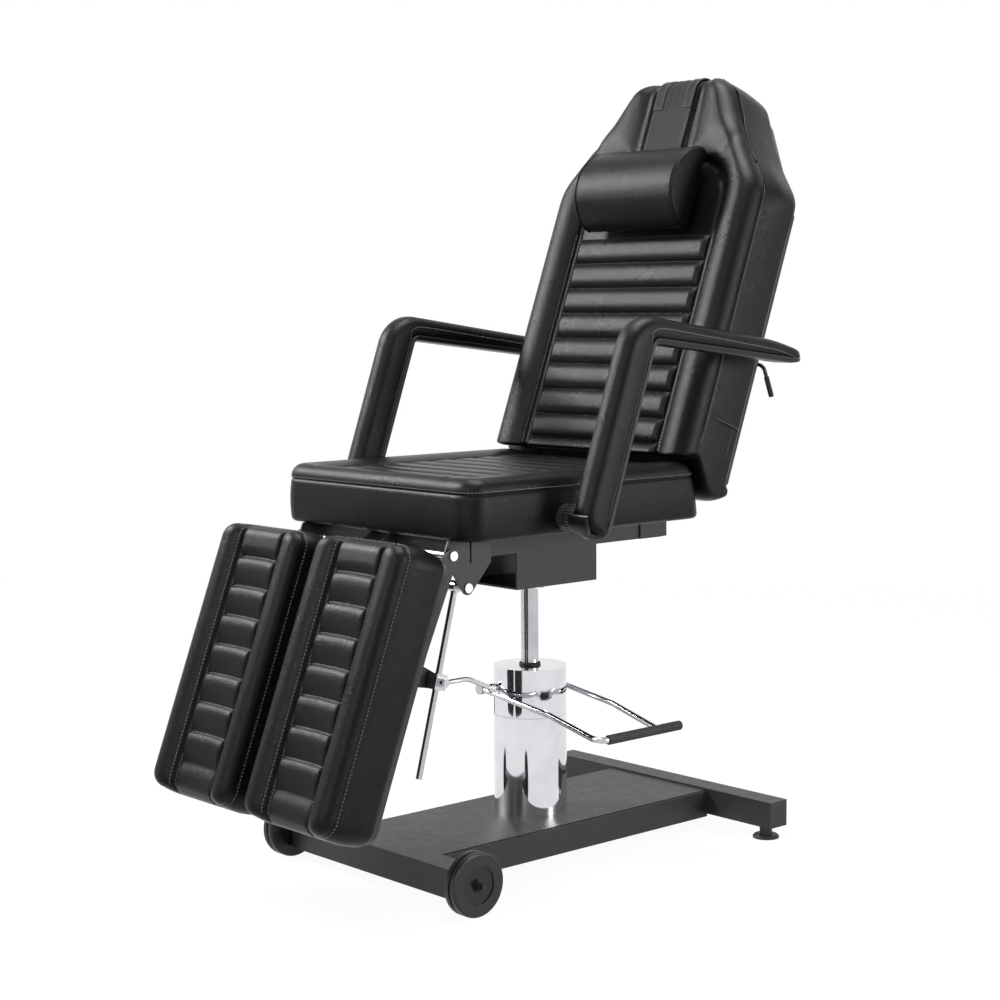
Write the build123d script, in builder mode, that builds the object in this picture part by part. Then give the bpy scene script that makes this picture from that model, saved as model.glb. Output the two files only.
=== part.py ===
# Hydraulic tattoo chair with a split leg rest, drop arms and a reclining back.
# Millimetres. +Z is up, the sitter faces -Y and the sitter's left is +X.
# The origin is on the floor, under the middle of the chair's footprint.

import os
from math import atan2, cos, degrees, hypot, radians, sin, tan

from build123d import *

os.makedirs("parts", exist_ok=True)


# Driving dimensions

# Placing: the pump axis is the line that everything else is measured from.
pump_y = 75.0

# Fits and working clearances
running_fit = 0.05
face_gap = 0.3
soft_gap = 0.3
overrun = 6.0

# Base frame of rectangular steel tube
base_wall = 2.5
base_top_z = 78.4
base_bottom_z = 22.0
base_half_width = 146.0
front_tube_front = 416.0
front_tube_depth = 57.0
front_tube_half_length = 262.0
rear_tube_rear = 430.0
rear_tube_depth = 52.0
rear_tube_half_length = 318.0
rear_tube_height = 55.0
rear_tube_step = 4.0
side_beam_width = 32.0
cover_plate_thickness = 2.0
cover_plate_inset = 6.0
mounting_plate_thickness = 8.0
mounting_plate_length = 190.0
end_cap_thickness = 4.0
end_cap_plug = 14.0
axle_boss_plate = 6.0

# Transport wheels
wheel_radius = 60.3
wheel_width = 30.0
wheel_gap = 7.0
hub_radius = 37.5
hub_recess = 2.0
wheel_edge = 4.0
tread_groove_width = 5.0
tread_groove_depth = 3.0
axle_y = 402.0
axle_radius = 6.0
axle_collar_radius = 11.0
nut_height = 7.0
nut_across_flats = 17.0
axle_tail = 5.0
washer_radius = 12.0
washer_thickness = 2.0

# Levelling feet
foot_inset = 30.0
foot_radius = 27.5
foot_disc_height = 7.0
foot_across_flats = 24.0
foot_hex_top = 20.0
foot_stem_radius = 6.0
foot_stem_length = 54.0
lock_nut_gap = 0.2
foot_insert_radius = 14.0
foot_insert_length = 12.0
lock_nut_height = 7.0

# Hydraulic pump
pump_radius = 75.0
pump_top_z = 380.0
pump_seam_z = 281.0
cover_wall = 1.6
pump_seam_gap = 0.6
flange_radius = 70.0
flange_thickness = 12.0
flange_bolt_circle_radius = 52.0
flange_bolt_count = 4
flange_bolt_angle = 45.0
flange_bolt_radius = 5.0
bolt_head_height = 6.0
cylinder_radius = 34.0
bore_radius = 25.0
gland_height = 32.0
piston_height = 20.0
top_cap_thickness = 4.0
wiper_radius = 22.0
wiper_height = 6.0
rod_radius = 18.0
gland_floor = 8.0
rod_shoulder_z = 540.0
spindle_radius = 12.5
spindle_top_z = 630.0
spindle_washer_radius = 20.0
stroke_up = 45.0

# Pump pedal
pedal_shaft_x = -46.0
pedal_shaft_z = 334.0
pedal_shaft_radius = 7.0
pedal_hub_y = 92.0
pedal_hub_radius = 11.0
pedal_hub_width = 14.0
pedal_rod_radius = 6.0
pedal_elbow_x = 161.0
pedal_elbow_z = 311.0
pedal_bar_x = 302.0
pedal_bar_z = 281.0
pedal_near_y = 100.0
pedal_far_y = 66.0
pedal_bar_far_y = 124.0
pedal_sleeve_radius = 9.5
pedal_corner_radius = 24.0
pedal_slot_width = 24.0
pedal_slot_height = 64.0
pedal_slot_inner = 30.0
shaft_ear_width = 12.0
shaft_ear_inner = 22.0
shaft_ear_outer = 44.0

# Mechanism box and seat frame
collar_radius = 31.0
bush_radius = 24.0
box_front = 116.0
box_rear = 103.0
box_bottom_z = 554.0
box_wall = 4.0
rail_bottom_z = 628.0
rail_outer_x = 94.0
rail_flange = 34.0
rail_wall = 3.5
rail_rear = 306.0
rail_tail_height = 34.0
rail_tail_start = 214.0
cross_tube_width = 30.0
cross_tube_height = 25.0
front_cross_front = 372.0
rear_cross_rear = 272.0

# Seat
seat_half_width = 286.0
seat_front = 406.0
seat_rear_bottom = 218.0
seat_rear_top = 195.0
seat_bottom_z = 687.0
seat_top_z = 802.0
seat_board_thickness = 15.0
seat_board_inset = 10.0
seat_corner = 42.0
seat_edge = 26.0
bolster_width = 94.0
seat_panel_drop = 13.0
seat_rib_count = 9
seat_rib_crown = 6.0
seat_panel_front = 54.0
seat_flare = 60.0
cleat_height = 62.0
cleat_width = 22.0
cleat_length = 110.0

# Backrest
back_lean = 20.5
back_front_y = 191.0
back_front_z = 817.0
back_shoulder_height = 560.0
back_top_height = 820.0
back_top_half_width = 112.0
back_head_drop = 58.0
back_head_half_width = 166.0
back_crown = 42.0
back_depth = 109.0
back_board_thickness = 12.0
back_corner = 40.0
back_edge = 38.0
back_panel_level = 18.0
back_panel_height = 500.0
back_rib_count = 9
back_rib_pitch = 56.8
back_rib_start = -50.8
back_rib_crown = 9.0
head_channel_half_width = 66.0
head_channel_level = 30.0
head_flare = 16.0
back_flare = 54.0
back_foot_gap = 4.0
mitre_depth = 60.0
mitre_drop = 77.0
back_tail_out = 125.0
back_tail_height = 34.0
back_tail_drop = 73.0
back_tail_reach = 97.0
back_tail_radius = 28.0
back_board_inset = 10.0
back_pivot_y = 256.0
back_pivot_z = 694.0
back_arm_thickness = 5.0
back_strip_depth = 26.0
back_arm_height = 560.0
back_pin_radius = 6.0
back_boss_radius = 14.0
lug_thickness = 4.0
lug_radius = 16.0
lug_foot_reach = 32.0
lower_bar_height = 262.0
upper_bar_height = 520.0
cross_bar_width = 26.0
cross_bar_thickness = 5.0
screw_head_radius = 6.0
screw_head_height = 3.0
screw_across = 62.0

# Head pillow and its strap
pillow_half_length = 145.0
pillow_bottom_height = 463.0
pillow_top_height = 641.0
pillow_depth = 78.0
pillow_edge = 9.0
strap_half_width = 56.0
strap_thickness = 3.0
strap_front_end = 520.0
strap_rear_end = 700.0
strap_bend = 13.0

# Gas spring and its release lever
spring_low_y = 290.0
spring_low_z = 645.0
spring_top_height = 236.0
spring_top_depth = 148.0
spring_radius = 11.0
spring_rod_radius = 5.0
spring_body_length = 205.0
spring_bore_radius = 9.0
spring_gland = 12.0
spring_floor = 24.0
spring_piston_start = 112.0
spring_piston_height = 10.0
spring_eye_radius = 10.0
spring_eye_half_width = 7.0
spring_pin_radius = 4.0
spring_lug_thickness = 4.0
spring_lug_radius = 10.0
spring_plate_half_width = 30.0
spring_plate_height = 216.0
pin_head_radius = 7.0
pin_head_height = 3.0
lever_height = 240.0
lever_depth = 157.0
lever_radius = 4.0
lever_end_x = 258.0
lever_drop = 66.0
lever_drop_back = 26.0
lever_grip_radius = 5.5
lever_grip_length = 40.0
lever_bend = 14.0
lever_cam_radius = 8.0
lever_cam_x = 15.0
lever_cam_width = 7.0
lever_ear_x = 25.0
lever_ear_radius = 9.0

# Leg rests
leg_front_y = 561.0
leg_front_z = 697.0
leg_lean = 20.8
leg_inner_x = 24.0
leg_side_inset = 6.0
leg_top_height = 8.0
leg_bottom_drop = 524.0
leg_depth = 119.0
leg_board_thickness = 12.0
leg_board_inset = 8.0
leg_corner = 34.0
leg_edge = 27.0
leg_bolster_width = 67.0
leg_strip_drop = 22.0
leg_flare = 34.0
leg_rib_pitch = 57.8
leg_rib_start = 519.0
leg_rib_count = 9
leg_rib_crown = 5.0
leg_hinge_y = 402.0
leg_hinge_z = 660.0
leg_hinge_radius = 6.0
leg_boss_radius = 13.0
leg_arm_thickness = 4.0
leg_arm_inner_x = 40.0
leg_arm_length = 300.0
leg_arm_depth = 24.0
leg_outer_arm_inset = 50.0
leg_upper_strap_depth = 60.0
leg_lower_strap_depth = 250.0
leg_strap_width = 40.0
leg_lug_half_height = 34.0

# Leg brackets under the seat
bracket_arm_gap = 5.0
bracket_thickness = 4.0
bracket_rear = 302.0
bracket_front = 405.0
bracket_step_z = 640.0
bracket_radius = 13.0
bracket_flange = 24.0
bracket_slot_y = 352.0
bracket_slot_z = 642.0
centre_lug_x = 28.0
bracket_slot_width = 4.0
bracket_slot_height = 40.0
rivet_radius = 9.0
rivet_height = 3.0

# Support rods, clamps and clamp levers
support_pivot_y = 359.0
support_pivot_z = 596.0
support_bar_radius = 5.0
support_lean = 14.8
support_inset = 33.0
support_rod_radius = 6.0
support_rod_length = 361.0
support_eye_radius = 11.0
support_eye_half_width = 9.0
clamp_reach = 179.0
clamp_half_width = 12.0
clamp_half_height = 15.0
clamp_half_depth = 13.0
clamp_pin_radius = 6.0
clamp_lug_inset = 20.0
clamp_lug_thickness = 4.0
clamp_lug_radius = 15.0
clamp_lever_hub_radius = 9.0
clamp_lever_hub_width = 12.0
clamp_lever_bend = 60.0
clamp_screw_radius = 4.0
clamp_lever_radius = 4.5
clamp_lever_length = 118.0
clamp_lever_sag = 26.0
clamp_lever_bulb = 9.0

# Armrests
arm_pivot_y = 171.0
arm_pivot_z = 718.0
arm_side_gap = 44.0
arm_width = 52.0
arm_lean = 19.5
arm_post_depth = 72.0
arm_band = 12.0
arm_crown_y = 35.0
arm_crown_z = 1083.0
arm_pad_slope = 8.2
arm_under_slope = 6.7
arm_pad_thickness = 50.0
arm_tip_y = 417.0
arm_bend = 78.0
arm_inner_bend = 10.0
arm_edge = 17.0
arm_tip_round = 25.5
arm_foot_radius = 33.0
arm_toe_radius = 38.0
arm_hub_radius = 25.0
arm_hub_width = 36.0
arm_hub_floor = 22.0
arm_bolt_radius = 6.0
arm_bolt_head_radius = 11.0
arm_bolt_head_height = 7.0
rosette_radius = 26.0
rosette_tooth_count = 24
rosette_groove_radius = 1.2
rosette_length = 22.0

# Nuts and bolt heads
hexagon_sides = 6


# Shares: how far along and how far up its flare a bolster's swelling side passes
swell_across_share = 0.28
swell_up_share = 0.74


# Places worked out from the dimensions

def ahead(distance):
    """The y of a place that lies a distance in front of the pump axis."""
    return pump_y - distance


def behind(distance):
    """The y of a place that lies a distance behind the pump axis."""
    return pump_y + distance


# Wheels and feet sit off the ends of their tubes
wheel_inner_x = front_tube_half_length + wheel_gap
foot_x = rear_tube_half_length - foot_inset
foot_y = rear_tube_rear - rear_tube_depth / 2

# The seat's width carries the backrest, the leg rests, their brackets and the armrests
back_head_height = back_top_height - back_head_drop
back_half_width = seat_half_width
seat_panel_half_width = seat_half_width - bolster_width
back_panel_half_width = back_half_width - bolster_width
leg_outer_x = seat_half_width - leg_side_inset
leg_strip_half_width = (leg_outer_x - leg_inner_x) / 2 - leg_bolster_width
leg_outer_arm_x = leg_outer_x - leg_outer_arm_inset
bracket_x = leg_outer_arm_x - bracket_arm_gap - bracket_thickness
front_cross_half_length = bracket_x
support_x = bracket_x - support_inset
clamp_lug_x = support_x - clamp_lug_inset
rosette_split_x = seat_half_width + rosette_length
arm_inner_x = seat_half_width + arm_side_gap

# The mechanism box fits between the rails, and the backrest's arms turn outside their lugs
box_half_width = rail_outer_x - rail_wall
back_arm_x = rail_outer_x + lug_thickness + face_gap

# How high up their pads the cross bars of the backrest and the straps of the leg rests sit
cross_bar_heights = (lower_bar_height, upper_bar_height)
leg_strap_heights = (-leg_upper_strap_depth, -leg_lower_strap_depth)


# Shapes that several pieces share

def block(x, y, z, mode=Mode.ADD):
    """Add or cut a block that spans a (low, high) pair on each axis."""
    with Locations((x[0], y[0], z[0])):
        Box(x[1] - x[0], y[1] - y[0], z[1] - z[0], align=(Align.MIN, Align.MIN, Align.MIN), mode=mode)


def bar_x(y, z, radius, x, mode=Mode.ADD):
    """Add or cut a round bar along X through (y, z), spanning a pair of x."""
    with BuildSketch(Plane.YZ.offset(x[0])) as profile:
        with Locations((y, z)):
            Circle(radius)
    extrude(profile.sketch, amount=x[1] - x[0], mode=mode)


def bar_y(x, z, radius, y, mode=Mode.ADD):
    """Add or cut a round bar along Y through (x, z), spanning a pair of y."""
    with BuildSketch(Plane.ZX.offset(y[0])) as profile:
        with Locations((z, x)):
            Circle(radius)
    extrude(profile.sketch, amount=y[1] - y[0], mode=mode)


def bar_z(x, y, radius, z, mode=Mode.ADD):
    """Add or cut an upright round bar through (x, y), spanning a pair of z."""
    with BuildSketch(Plane.XY.offset(z[0])) as profile:
        with Locations((x, y)):
            Circle(radius)
    extrude(profile.sketch, amount=z[1] - z[0], mode=mode)


def hexagon_z(x, y, across_flats, z):
    """Add an upright hexagonal prism, as a nut or a bolt head."""
    with BuildSketch(Plane.XY.offset(z[0])) as profile:
        with Locations((x, y)):
            RegularPolygon(across_flats / 2, hexagon_sides, major_radius=False)
    extrude(profile.sketch, amount=z[1] - z[0])


def flange_bars(z, mode=Mode.ADD):
    """Add or cut the ring of upright bars where the pump's flange bolts run, spanning a pair of z."""
    with BuildSketch(Plane.XY.offset(z[0])) as profile:
        with Locations((0, pump_y)):
            with PolarLocations(flange_bolt_circle_radius, flange_bolt_count, flange_bolt_angle):
                Circle(flange_bolt_radius)
    extrude(profile.sketch, amount=z[1] - z[0], mode=mode)


def plate_x(points, x, mode=Mode.ADD):
    """Add or cut a flat plate with a side outline in (y, z), spanning a pair of x."""
    with BuildSketch(Plane.YZ.offset(x[0])) as profile:
        with BuildLine():
            Polyline(*points, close=True)
        make_face()
    extrude(profile.sketch, amount=x[1] - x[0], mode=mode)


def hull_x(points, rounds, x):
    """Add a plate whose side outline in (y, z) wraps some points and (y, z, radius) rounds."""
    with BuildSketch(Plane.YZ.offset(x[0])) as profile:
        for y, z, radius in rounds:
            with Locations((y, z)):
                Circle(radius)
        with BuildLine():
            Polyline(*points, close=True)
        make_hull()
    extrude(profile.sketch, amount=x[1] - x[0])


def rod(points, radius, bend, mode=Mode.ADD):
    """Add or cut a round rod that runs through points and bends at each corner."""
    with BuildLine() as route:
        FilletPolyline(*points, radius=bend)
    with BuildSketch(Plane(origin=route.line @ 0, z_dir=route.line % 0)) as profile:
        Circle(radius)
    sweep(profile.sketch, path=route.line, mode=mode)


def leaning_plane(y, z, lean):
    """Front plane of a leaning pad: x across, y up the pad, z out of its front."""
    tilt = radians(lean)
    return Plane(origin=(0, y, z), x_dir=(1, 0, 0), z_dir=(0, -cos(tilt), sin(tilt)))


def side_plane(front, x):
    """Side plane of a pad: its first axis runs up the pad and its second out of the front."""
    origin = front.origin
    return Plane(origin=(x, origin.Y, origin.Z), x_dir=front.y_dir, z_dir=(1, 0, 0))


def on_pad(front, rise, out):
    """The (y, z) place of a point given by its rise up a pad and its distance out of it."""
    place = front.origin + front.y_dir * rise + front.z_dir * out
    return place.Y, place.Z


def pad_place(front, y, z):
    """The (rise, out) place on a pad of a point given by its y and z."""
    step = Vector(0, y, z) - Vector(0, front.origin.Y, front.origin.Z)
    return step.dot(front.y_dir), step.dot(front.z_dir)


def side_plate(front, points, x, mode=Mode.ADD, corner=0):
    """Extrude a side outline given as (rise, out) points over a pair of x."""
    with BuildSketch(side_plane(front, x[0])) as profile:
        with BuildLine():
            Polyline(*points, close=True)
        make_face()
        if corner > 0:
            fillet(profile.vertices(), radius=corner)
    extrude(profile.sketch, amount=x[1] - x[0], mode=mode)


def side_block(front, x, rise, out, mode=Mode.ADD):
    """Add or cut a block square to a pad, spanning a pair of x, of rise and of out."""
    low, high = rise
    points = [(low, out[0]), (high, out[0]), (high, out[1]), (low, out[1])]
    side_plate(front, points, x, mode)


def side_hull(front, points, rounds, x):
    """Add a plate whose outline in (rise, out) wraps some points and (rise, out, radius) rounds."""
    with BuildSketch(side_plane(front, x[0])) as profile:
        for rise, out, radius in rounds:
            with Locations((rise, out)):
                Circle(radius)
        with BuildLine():
            Polyline(*points, close=True)
        make_hull()
    extrude(profile.sketch, amount=x[1] - x[0])


def bar_up_pad(front, x, out, radius, rise, mode=Mode.ADD):
    """Add or cut a round bar that runs up a pad's direction, spanning a pair of rises."""
    start = front.origin + front.y_dir * rise[0]
    with BuildSketch(Plane(origin=(0, start.Y, start.Z), x_dir=(1, 0, 0), z_dir=front.y_dir)) as profile:
        with Locations((x, -out)):
            Circle(radius)
    extrude(profile.sketch, amount=rise[1] - rise[0], mode=mode)


def pad_outline(front, corners, corner_radius, out):
    """Extrude a pad's front outline, given as (across, rise) points, over a pair of outs."""
    with BuildSketch(front.offset(out[0])) as profile:
        with BuildLine():
            Polyline(*corners, close=True)
        make_face()
        fillet(profile.vertices(), radius=corner_radius)
    extrude(profile.sketch, amount=out[1] - out[0])


def crowned_block(front, corners, corner_radius, back, crown, edge_radius):
    """A pad body: its front outline extruded from back to crown, with the front edges rounded."""
    pad_outline(front, corners, corner_radius, (back, crown))
    front_face = faces().sort_by(Axis(front.origin, front.z_dir))[-1]
    fillet(front_face.edges(), radius=edge_radius)


def sunken_panel(front, centre, half_width, level, crown, flare, rise):
    """Cut the sunken middle of a pad, with a swelling side up to the bolster on each hand."""
    top = front.origin + front.y_dir * rise[1]
    across = Plane(origin=(0, top.Y, top.Z), x_dir=(1, 0, 0), z_dir=-front.y_dir)
    climb = crown - level
    with BuildSketch(across) as profile:
        with BuildLine():
            Line((centre - half_width, level), (centre + half_width, level))
            for side in (-1, 1):
                foot = (centre + side * half_width, level)
                swell = (foot[0] + side * flare * swell_across_share, level + climb * swell_up_share)
                ThreePointArc(foot, swell, (foot[0] + side * flare, crown))
            lip = half_width + flare
            rim = crown + overrun
            Polyline((centre + lip, crown), (centre + lip, rim), (centre - lip, rim), (centre - lip, crown))
        make_face()
    extrude(profile.sketch, amount=rise[1] - rise[0], mode=Mode.SUBTRACT)


def ribs(front, start, pitch, count, level, crown, x):
    """Add a row of rounded ribs across a sunken panel, the grooves between them at its level."""
    end = start + pitch * count
    with BuildSketch(side_plane(front, x[0])) as profile:
        with BuildLine():
            for index in range(count):
                low = start + pitch * index
                ThreePointArc((low, level), (low + pitch / 2, level + crown), (low + pitch, level))
            Polyline((end, level), (end, level - crown), (start, level - crown), (start, level))
        make_face()
    extrude(profile.sketch, amount=x[1] - x[0])


def write(piece, name):
    """Label a finished piece and write it to its own file."""
    piece.label = name
    export_step(piece, f"parts/{name}.step")


def write_pair(piece, name):
    """Write a left-hand piece, then its mirror image for the right."""
    write(piece, f"{name}_left")
    write(mirror(piece, about=Plane.YZ), f"{name}_right")


# The leaning planes of the backrest, the leg rests, the support rods and the gas spring

back_front = leaning_plane(behind(back_front_y), back_front_z, back_lean)
leg_front = leaning_plane(ahead(leg_front_y), leg_front_z, leg_lean)
support_front = leaning_plane(ahead(support_pivot_y), support_pivot_z, support_lean)
seat_front_plane = Plane.XY.offset(seat_top_z)

leg_hinge_at = (ahead(leg_hinge_y), leg_hinge_z)
support_at = (ahead(support_pivot_y), support_pivot_z)
clamp_at = on_pad(support_front, -clamp_reach, 0)
back_pivot_at = (behind(back_pivot_y), back_pivot_z)
back_pivot_on_pad = pad_place(back_front, *back_pivot_at)
arm_pivot_at = (ahead(arm_pivot_y), arm_pivot_z)
spring_low_at = (behind(spring_low_y), spring_low_z)
spring_top_at = on_pad(back_front, spring_top_height, -spring_top_depth)
spring_run = (spring_top_at[0] - spring_low_at[0], spring_top_at[1] - spring_low_at[1])
spring_length = hypot(*spring_run)
spring_front = leaning_plane(*spring_low_at, degrees(atan2(*spring_run)))


# Base frame

tube_front = ahead(front_tube_front)
tube_back = tube_front + front_tube_depth
rear_front = behind(rear_tube_rear) - rear_tube_depth
rear_back = behind(rear_tube_rear)
rear_top_z = base_top_z + rear_tube_step
rear_bottom_z = rear_top_z - rear_tube_height
beam_top_z = base_top_z - cover_plate_thickness
beam_inner_x = base_half_width - side_beam_width
mount_bottom_z = beam_top_z - mounting_plate_thickness
front_inside = front_tube_half_length - axle_boss_plate
axle_at = (ahead(axle_y), wheel_radius)

with BuildPart() as base_front_tube:
    block(
        (-front_tube_half_length, front_tube_half_length),
        (tube_front, tube_back),
        (base_bottom_z, base_top_z),
    )
    block(
        (-front_inside, front_inside),
        (tube_front + base_wall, tube_back - base_wall),
        (base_bottom_z + base_wall, base_top_z - base_wall),
        Mode.SUBTRACT,
    )
    bar_x(*axle_at, axle_radius, (-front_tube_half_length, front_tube_half_length), Mode.SUBTRACT)
write(base_front_tube.part, "base_front_tube")

with BuildPart() as base_side_beams:
    block((beam_inner_x, base_half_width), (tube_back, rear_front), (base_bottom_z, beam_top_z))
    block(
        (beam_inner_x + base_wall, base_half_width - base_wall),
        (tube_back, rear_front),
        (base_bottom_z + base_wall, beam_top_z - base_wall),
        Mode.SUBTRACT,
    )
    mirror(about=Plane.YZ)
write(base_side_beams.part, "base_side_beams")

with BuildPart() as base_rear_tube:
    block(
        (-rear_tube_half_length, rear_tube_half_length),
        (rear_front, rear_back),
        (rear_bottom_z, rear_top_z),
    )
    block(
        (-rear_tube_half_length, rear_tube_half_length),
        (rear_front + base_wall, rear_back - base_wall),
        (rear_bottom_z + base_wall, rear_top_z - base_wall),
        Mode.SUBTRACT,
    )
    for side in (-1, 1):
        foot_place = (side * foot_x, behind(foot_y))
        bar_z(*foot_place, foot_insert_radius, (rear_bottom_z, rear_bottom_z + foot_insert_length))
        bar_z(
            *foot_place,
            foot_stem_radius + running_fit,
            (rear_bottom_z - overrun, rear_bottom_z + foot_insert_length + overrun),
            Mode.SUBTRACT,
        )
write(base_rear_tube.part, "base_rear_tube")

with BuildPart() as tube_end_caps:
    block(
        (rear_tube_half_length, rear_tube_half_length + end_cap_thickness),
        (rear_front, rear_back),
        (rear_bottom_z, rear_top_z),
    )
    block(
        (rear_tube_half_length - end_cap_plug, rear_tube_half_length),
        (rear_front + base_wall, rear_back - base_wall),
        (rear_bottom_z + base_wall, rear_top_z - base_wall),
    )
    mirror(about=Plane.YZ)
write(tube_end_caps.part, "tube_end_caps")

cover_half_width = base_half_width - cover_plate_inset

with BuildPart() as base_cover_plate:
    block((-cover_half_width, cover_half_width), (tube_back, rear_front), (beam_top_z, base_top_z))
    flange_bars((beam_top_z, base_top_z), Mode.SUBTRACT)
write(base_cover_plate.part, "base_cover_plate")

with BuildPart() as pump_mounting_plate:
    block(
        (-beam_inner_x, beam_inner_x),
        (pump_y - mounting_plate_length / 2, pump_y + mounting_plate_length / 2),
        (mount_bottom_z, beam_top_z),
    )
    flange_bars((mount_bottom_z, beam_top_z), Mode.SUBTRACT)
write(pump_mounting_plate.part, "pump_mounting_plate")


# Transport wheels, each with its hub, axle bolt and nut

wheel_outer_x = wheel_inner_x + wheel_width
wheel_middle_x = wheel_inner_x + wheel_width / 2
nut_start_x = wheel_outer_x + face_gap + washer_thickness

with BuildPart() as tyre:
    bar_x(*axle_at, wheel_radius, (wheel_inner_x, wheel_outer_x))
    fillet(edges().filter_by(GeomType.CIRCLE), radius=wheel_edge)
    bar_x(*axle_at, hub_radius, (wheel_inner_x, wheel_outer_x), Mode.SUBTRACT)
    groove_x = (wheel_middle_x - tread_groove_width / 2, wheel_middle_x + tread_groove_width / 2)
    with BuildSketch(Plane.YZ.offset(groove_x[0])):
        with Locations(axle_at):
            Circle(wheel_radius + overrun)
            Circle(wheel_radius - tread_groove_depth, mode=Mode.SUBTRACT)
    extrude(amount=tread_groove_width, mode=Mode.SUBTRACT)
write_pair(tyre.part, "wheel_tyre")

with BuildPart() as wheel_hub:
    bar_x(*axle_at, hub_radius, (wheel_inner_x, wheel_outer_x))
    with BuildSketch(Plane.YZ.offset(wheel_outer_x - hub_recess)):
        with Locations(axle_at):
            Circle(hub_radius - hub_recess)
            Circle(axle_collar_radius + hub_recess, mode=Mode.SUBTRACT)
    extrude(amount=hub_recess, mode=Mode.SUBTRACT)
    bar_x(*axle_at, axle_radius + running_fit, (wheel_inner_x, wheel_outer_x), Mode.SUBTRACT)
write_pair(wheel_hub.part, "wheel_hub")

with BuildPart() as axle_bolts:
    bar_x(*axle_at, axle_radius, (front_inside, nut_start_x + nut_height + axle_tail))
    bar_x(*axle_at, axle_collar_radius, (front_tube_half_length, wheel_inner_x - face_gap))
    bar_x(*axle_at, washer_radius, (wheel_outer_x + face_gap, nut_start_x))
    with BuildSketch(Plane.YZ.offset(nut_start_x)):
        with Locations(axle_at):
            RegularPolygon(nut_across_flats / 2, hexagon_sides, major_radius=False)
    extrude(amount=nut_height)
    mirror(about=Plane.YZ)
write(axle_bolts.part, "axle_bolts")


# Levelling feet

foot_at = (foot_x, behind(foot_y))
lock_nut_z = foot_hex_top + lock_nut_gap

with BuildPart() as levelling_foot:
    bar_z(*foot_at, foot_radius, (0, foot_disc_height))
    chamfer(edges().filter_by(GeomType.CIRCLE).sort_by(Axis.Z)[-1], length=foot_disc_height / 2)
    hexagon_z(*foot_at, foot_across_flats, (foot_disc_height, foot_hex_top))
    hexagon_z(*foot_at, foot_across_flats, (lock_nut_z, lock_nut_z + lock_nut_height))
    bar_z(*foot_at, foot_stem_radius + running_fit, (lock_nut_z, lock_nut_z + lock_nut_height), Mode.SUBTRACT)
    bar_z(*foot_at, foot_stem_radius, (foot_hex_top, foot_hex_top + foot_stem_length))
write_pair(levelling_foot.part, "levelling_foot")


# Hydraulic pump

flange_top_z = base_top_z + flange_thickness
cap_bottom_z = pump_top_z - top_cap_thickness
cylinder_top_z = cap_bottom_z - top_cap_thickness
gland_bottom_z = cylinder_top_z - gland_height
piston_bottom_z = gland_bottom_z - stroke_up - piston_height

with BuildPart() as pump_bolts:
    flange_bars((mount_bottom_z, flange_top_z))
    with BuildSketch(Plane.XY.offset(flange_top_z)):
        with Locations((0, pump_y)):
            with PolarLocations(flange_bolt_circle_radius, flange_bolt_count, flange_bolt_angle):
                RegularPolygon(nut_across_flats / 2, hexagon_sides, major_radius=False)
    extrude(amount=bolt_head_height)
write(pump_bolts.part, "pump_bolts")

with BuildPart() as pump_cylinder:
    bar_z(0, pump_y, flange_radius, (base_top_z, flange_top_z))
    flange_bars((base_top_z, flange_top_z), Mode.SUBTRACT)
    bar_z(0, pump_y, cylinder_radius, (flange_top_z, cylinder_top_z))
    for side in (-1, 1):
        ear_y = sorted((pump_y + side * shaft_ear_inner, pump_y + side * shaft_ear_outer))
        block(
            (pedal_shaft_x - shaft_ear_width, 0),
            ear_y,
            (pedal_shaft_z - shaft_ear_width, pedal_shaft_z + shaft_ear_width),
        )
    bar_z(0, pump_y, bore_radius, (flange_top_z + gland_floor, gland_bottom_z), Mode.SUBTRACT)
    bar_z(0, pump_y, rod_radius + running_fit, (gland_bottom_z, cylinder_top_z), Mode.SUBTRACT)
    bar_y(
        pedal_shaft_x,
        pedal_shaft_z,
        pedal_shaft_radius + running_fit,
        (pump_y - shaft_ear_outer, pump_y + shaft_ear_outer),
        Mode.SUBTRACT,
    )
write(pump_cylinder.part, "pump_cylinder")

lower_cover_z = (base_top_z, pump_seam_z - pump_seam_gap / 2)
upper_cover_z = (pump_seam_z + pump_seam_gap / 2, cap_bottom_z)

with BuildPart() as pump_cover_lower:
    bar_z(0, pump_y, pump_radius, lower_cover_z)
    bar_z(0, pump_y, pump_radius - cover_wall, lower_cover_z, Mode.SUBTRACT)
write(pump_cover_lower.part, "pump_cover_lower")

with BuildPart() as pump_cover_upper:
    bar_z(0, pump_y, pump_radius, upper_cover_z)
    bar_z(0, pump_y, pump_radius - cover_wall, upper_cover_z, Mode.SUBTRACT)
    for side in (-1, 1):
        slot_y = sorted((pump_y + side * pedal_slot_inner, pump_y + side * pump_radius))
        block(
            (pedal_shaft_x - pedal_slot_width / 2, pedal_shaft_x + pedal_slot_width / 2),
            slot_y,
            (upper_cover_z[0], upper_cover_z[0] + pedal_slot_height),
            Mode.SUBTRACT,
        )
write(pump_cover_upper.part, "pump_cover_upper")

with BuildPart() as pump_top_cap:
    bar_z(0, pump_y, pump_radius, (cap_bottom_z, pump_top_z))
    bar_z(0, pump_y, pump_radius - cover_wall, (cylinder_top_z, cap_bottom_z))
    bar_z(0, pump_y, wiper_radius, (cylinder_top_z, pump_top_z), Mode.SUBTRACT)
write(pump_top_cap.part, "pump_top_cap")

with BuildPart() as rod_wiper_seal:
    bar_z(0, pump_y, wiper_radius, (cylinder_top_z, pump_top_z + wiper_height))
    fillet(edges().filter_by(GeomType.CIRCLE).sort_by(Axis.Z)[-1], radius=wiper_height / 2)
    bar_z(0, pump_y, rod_radius + running_fit, (cylinder_top_z, pump_top_z + wiper_height), Mode.SUBTRACT)
write(rod_wiper_seal.part, "rod_wiper_seal")

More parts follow.
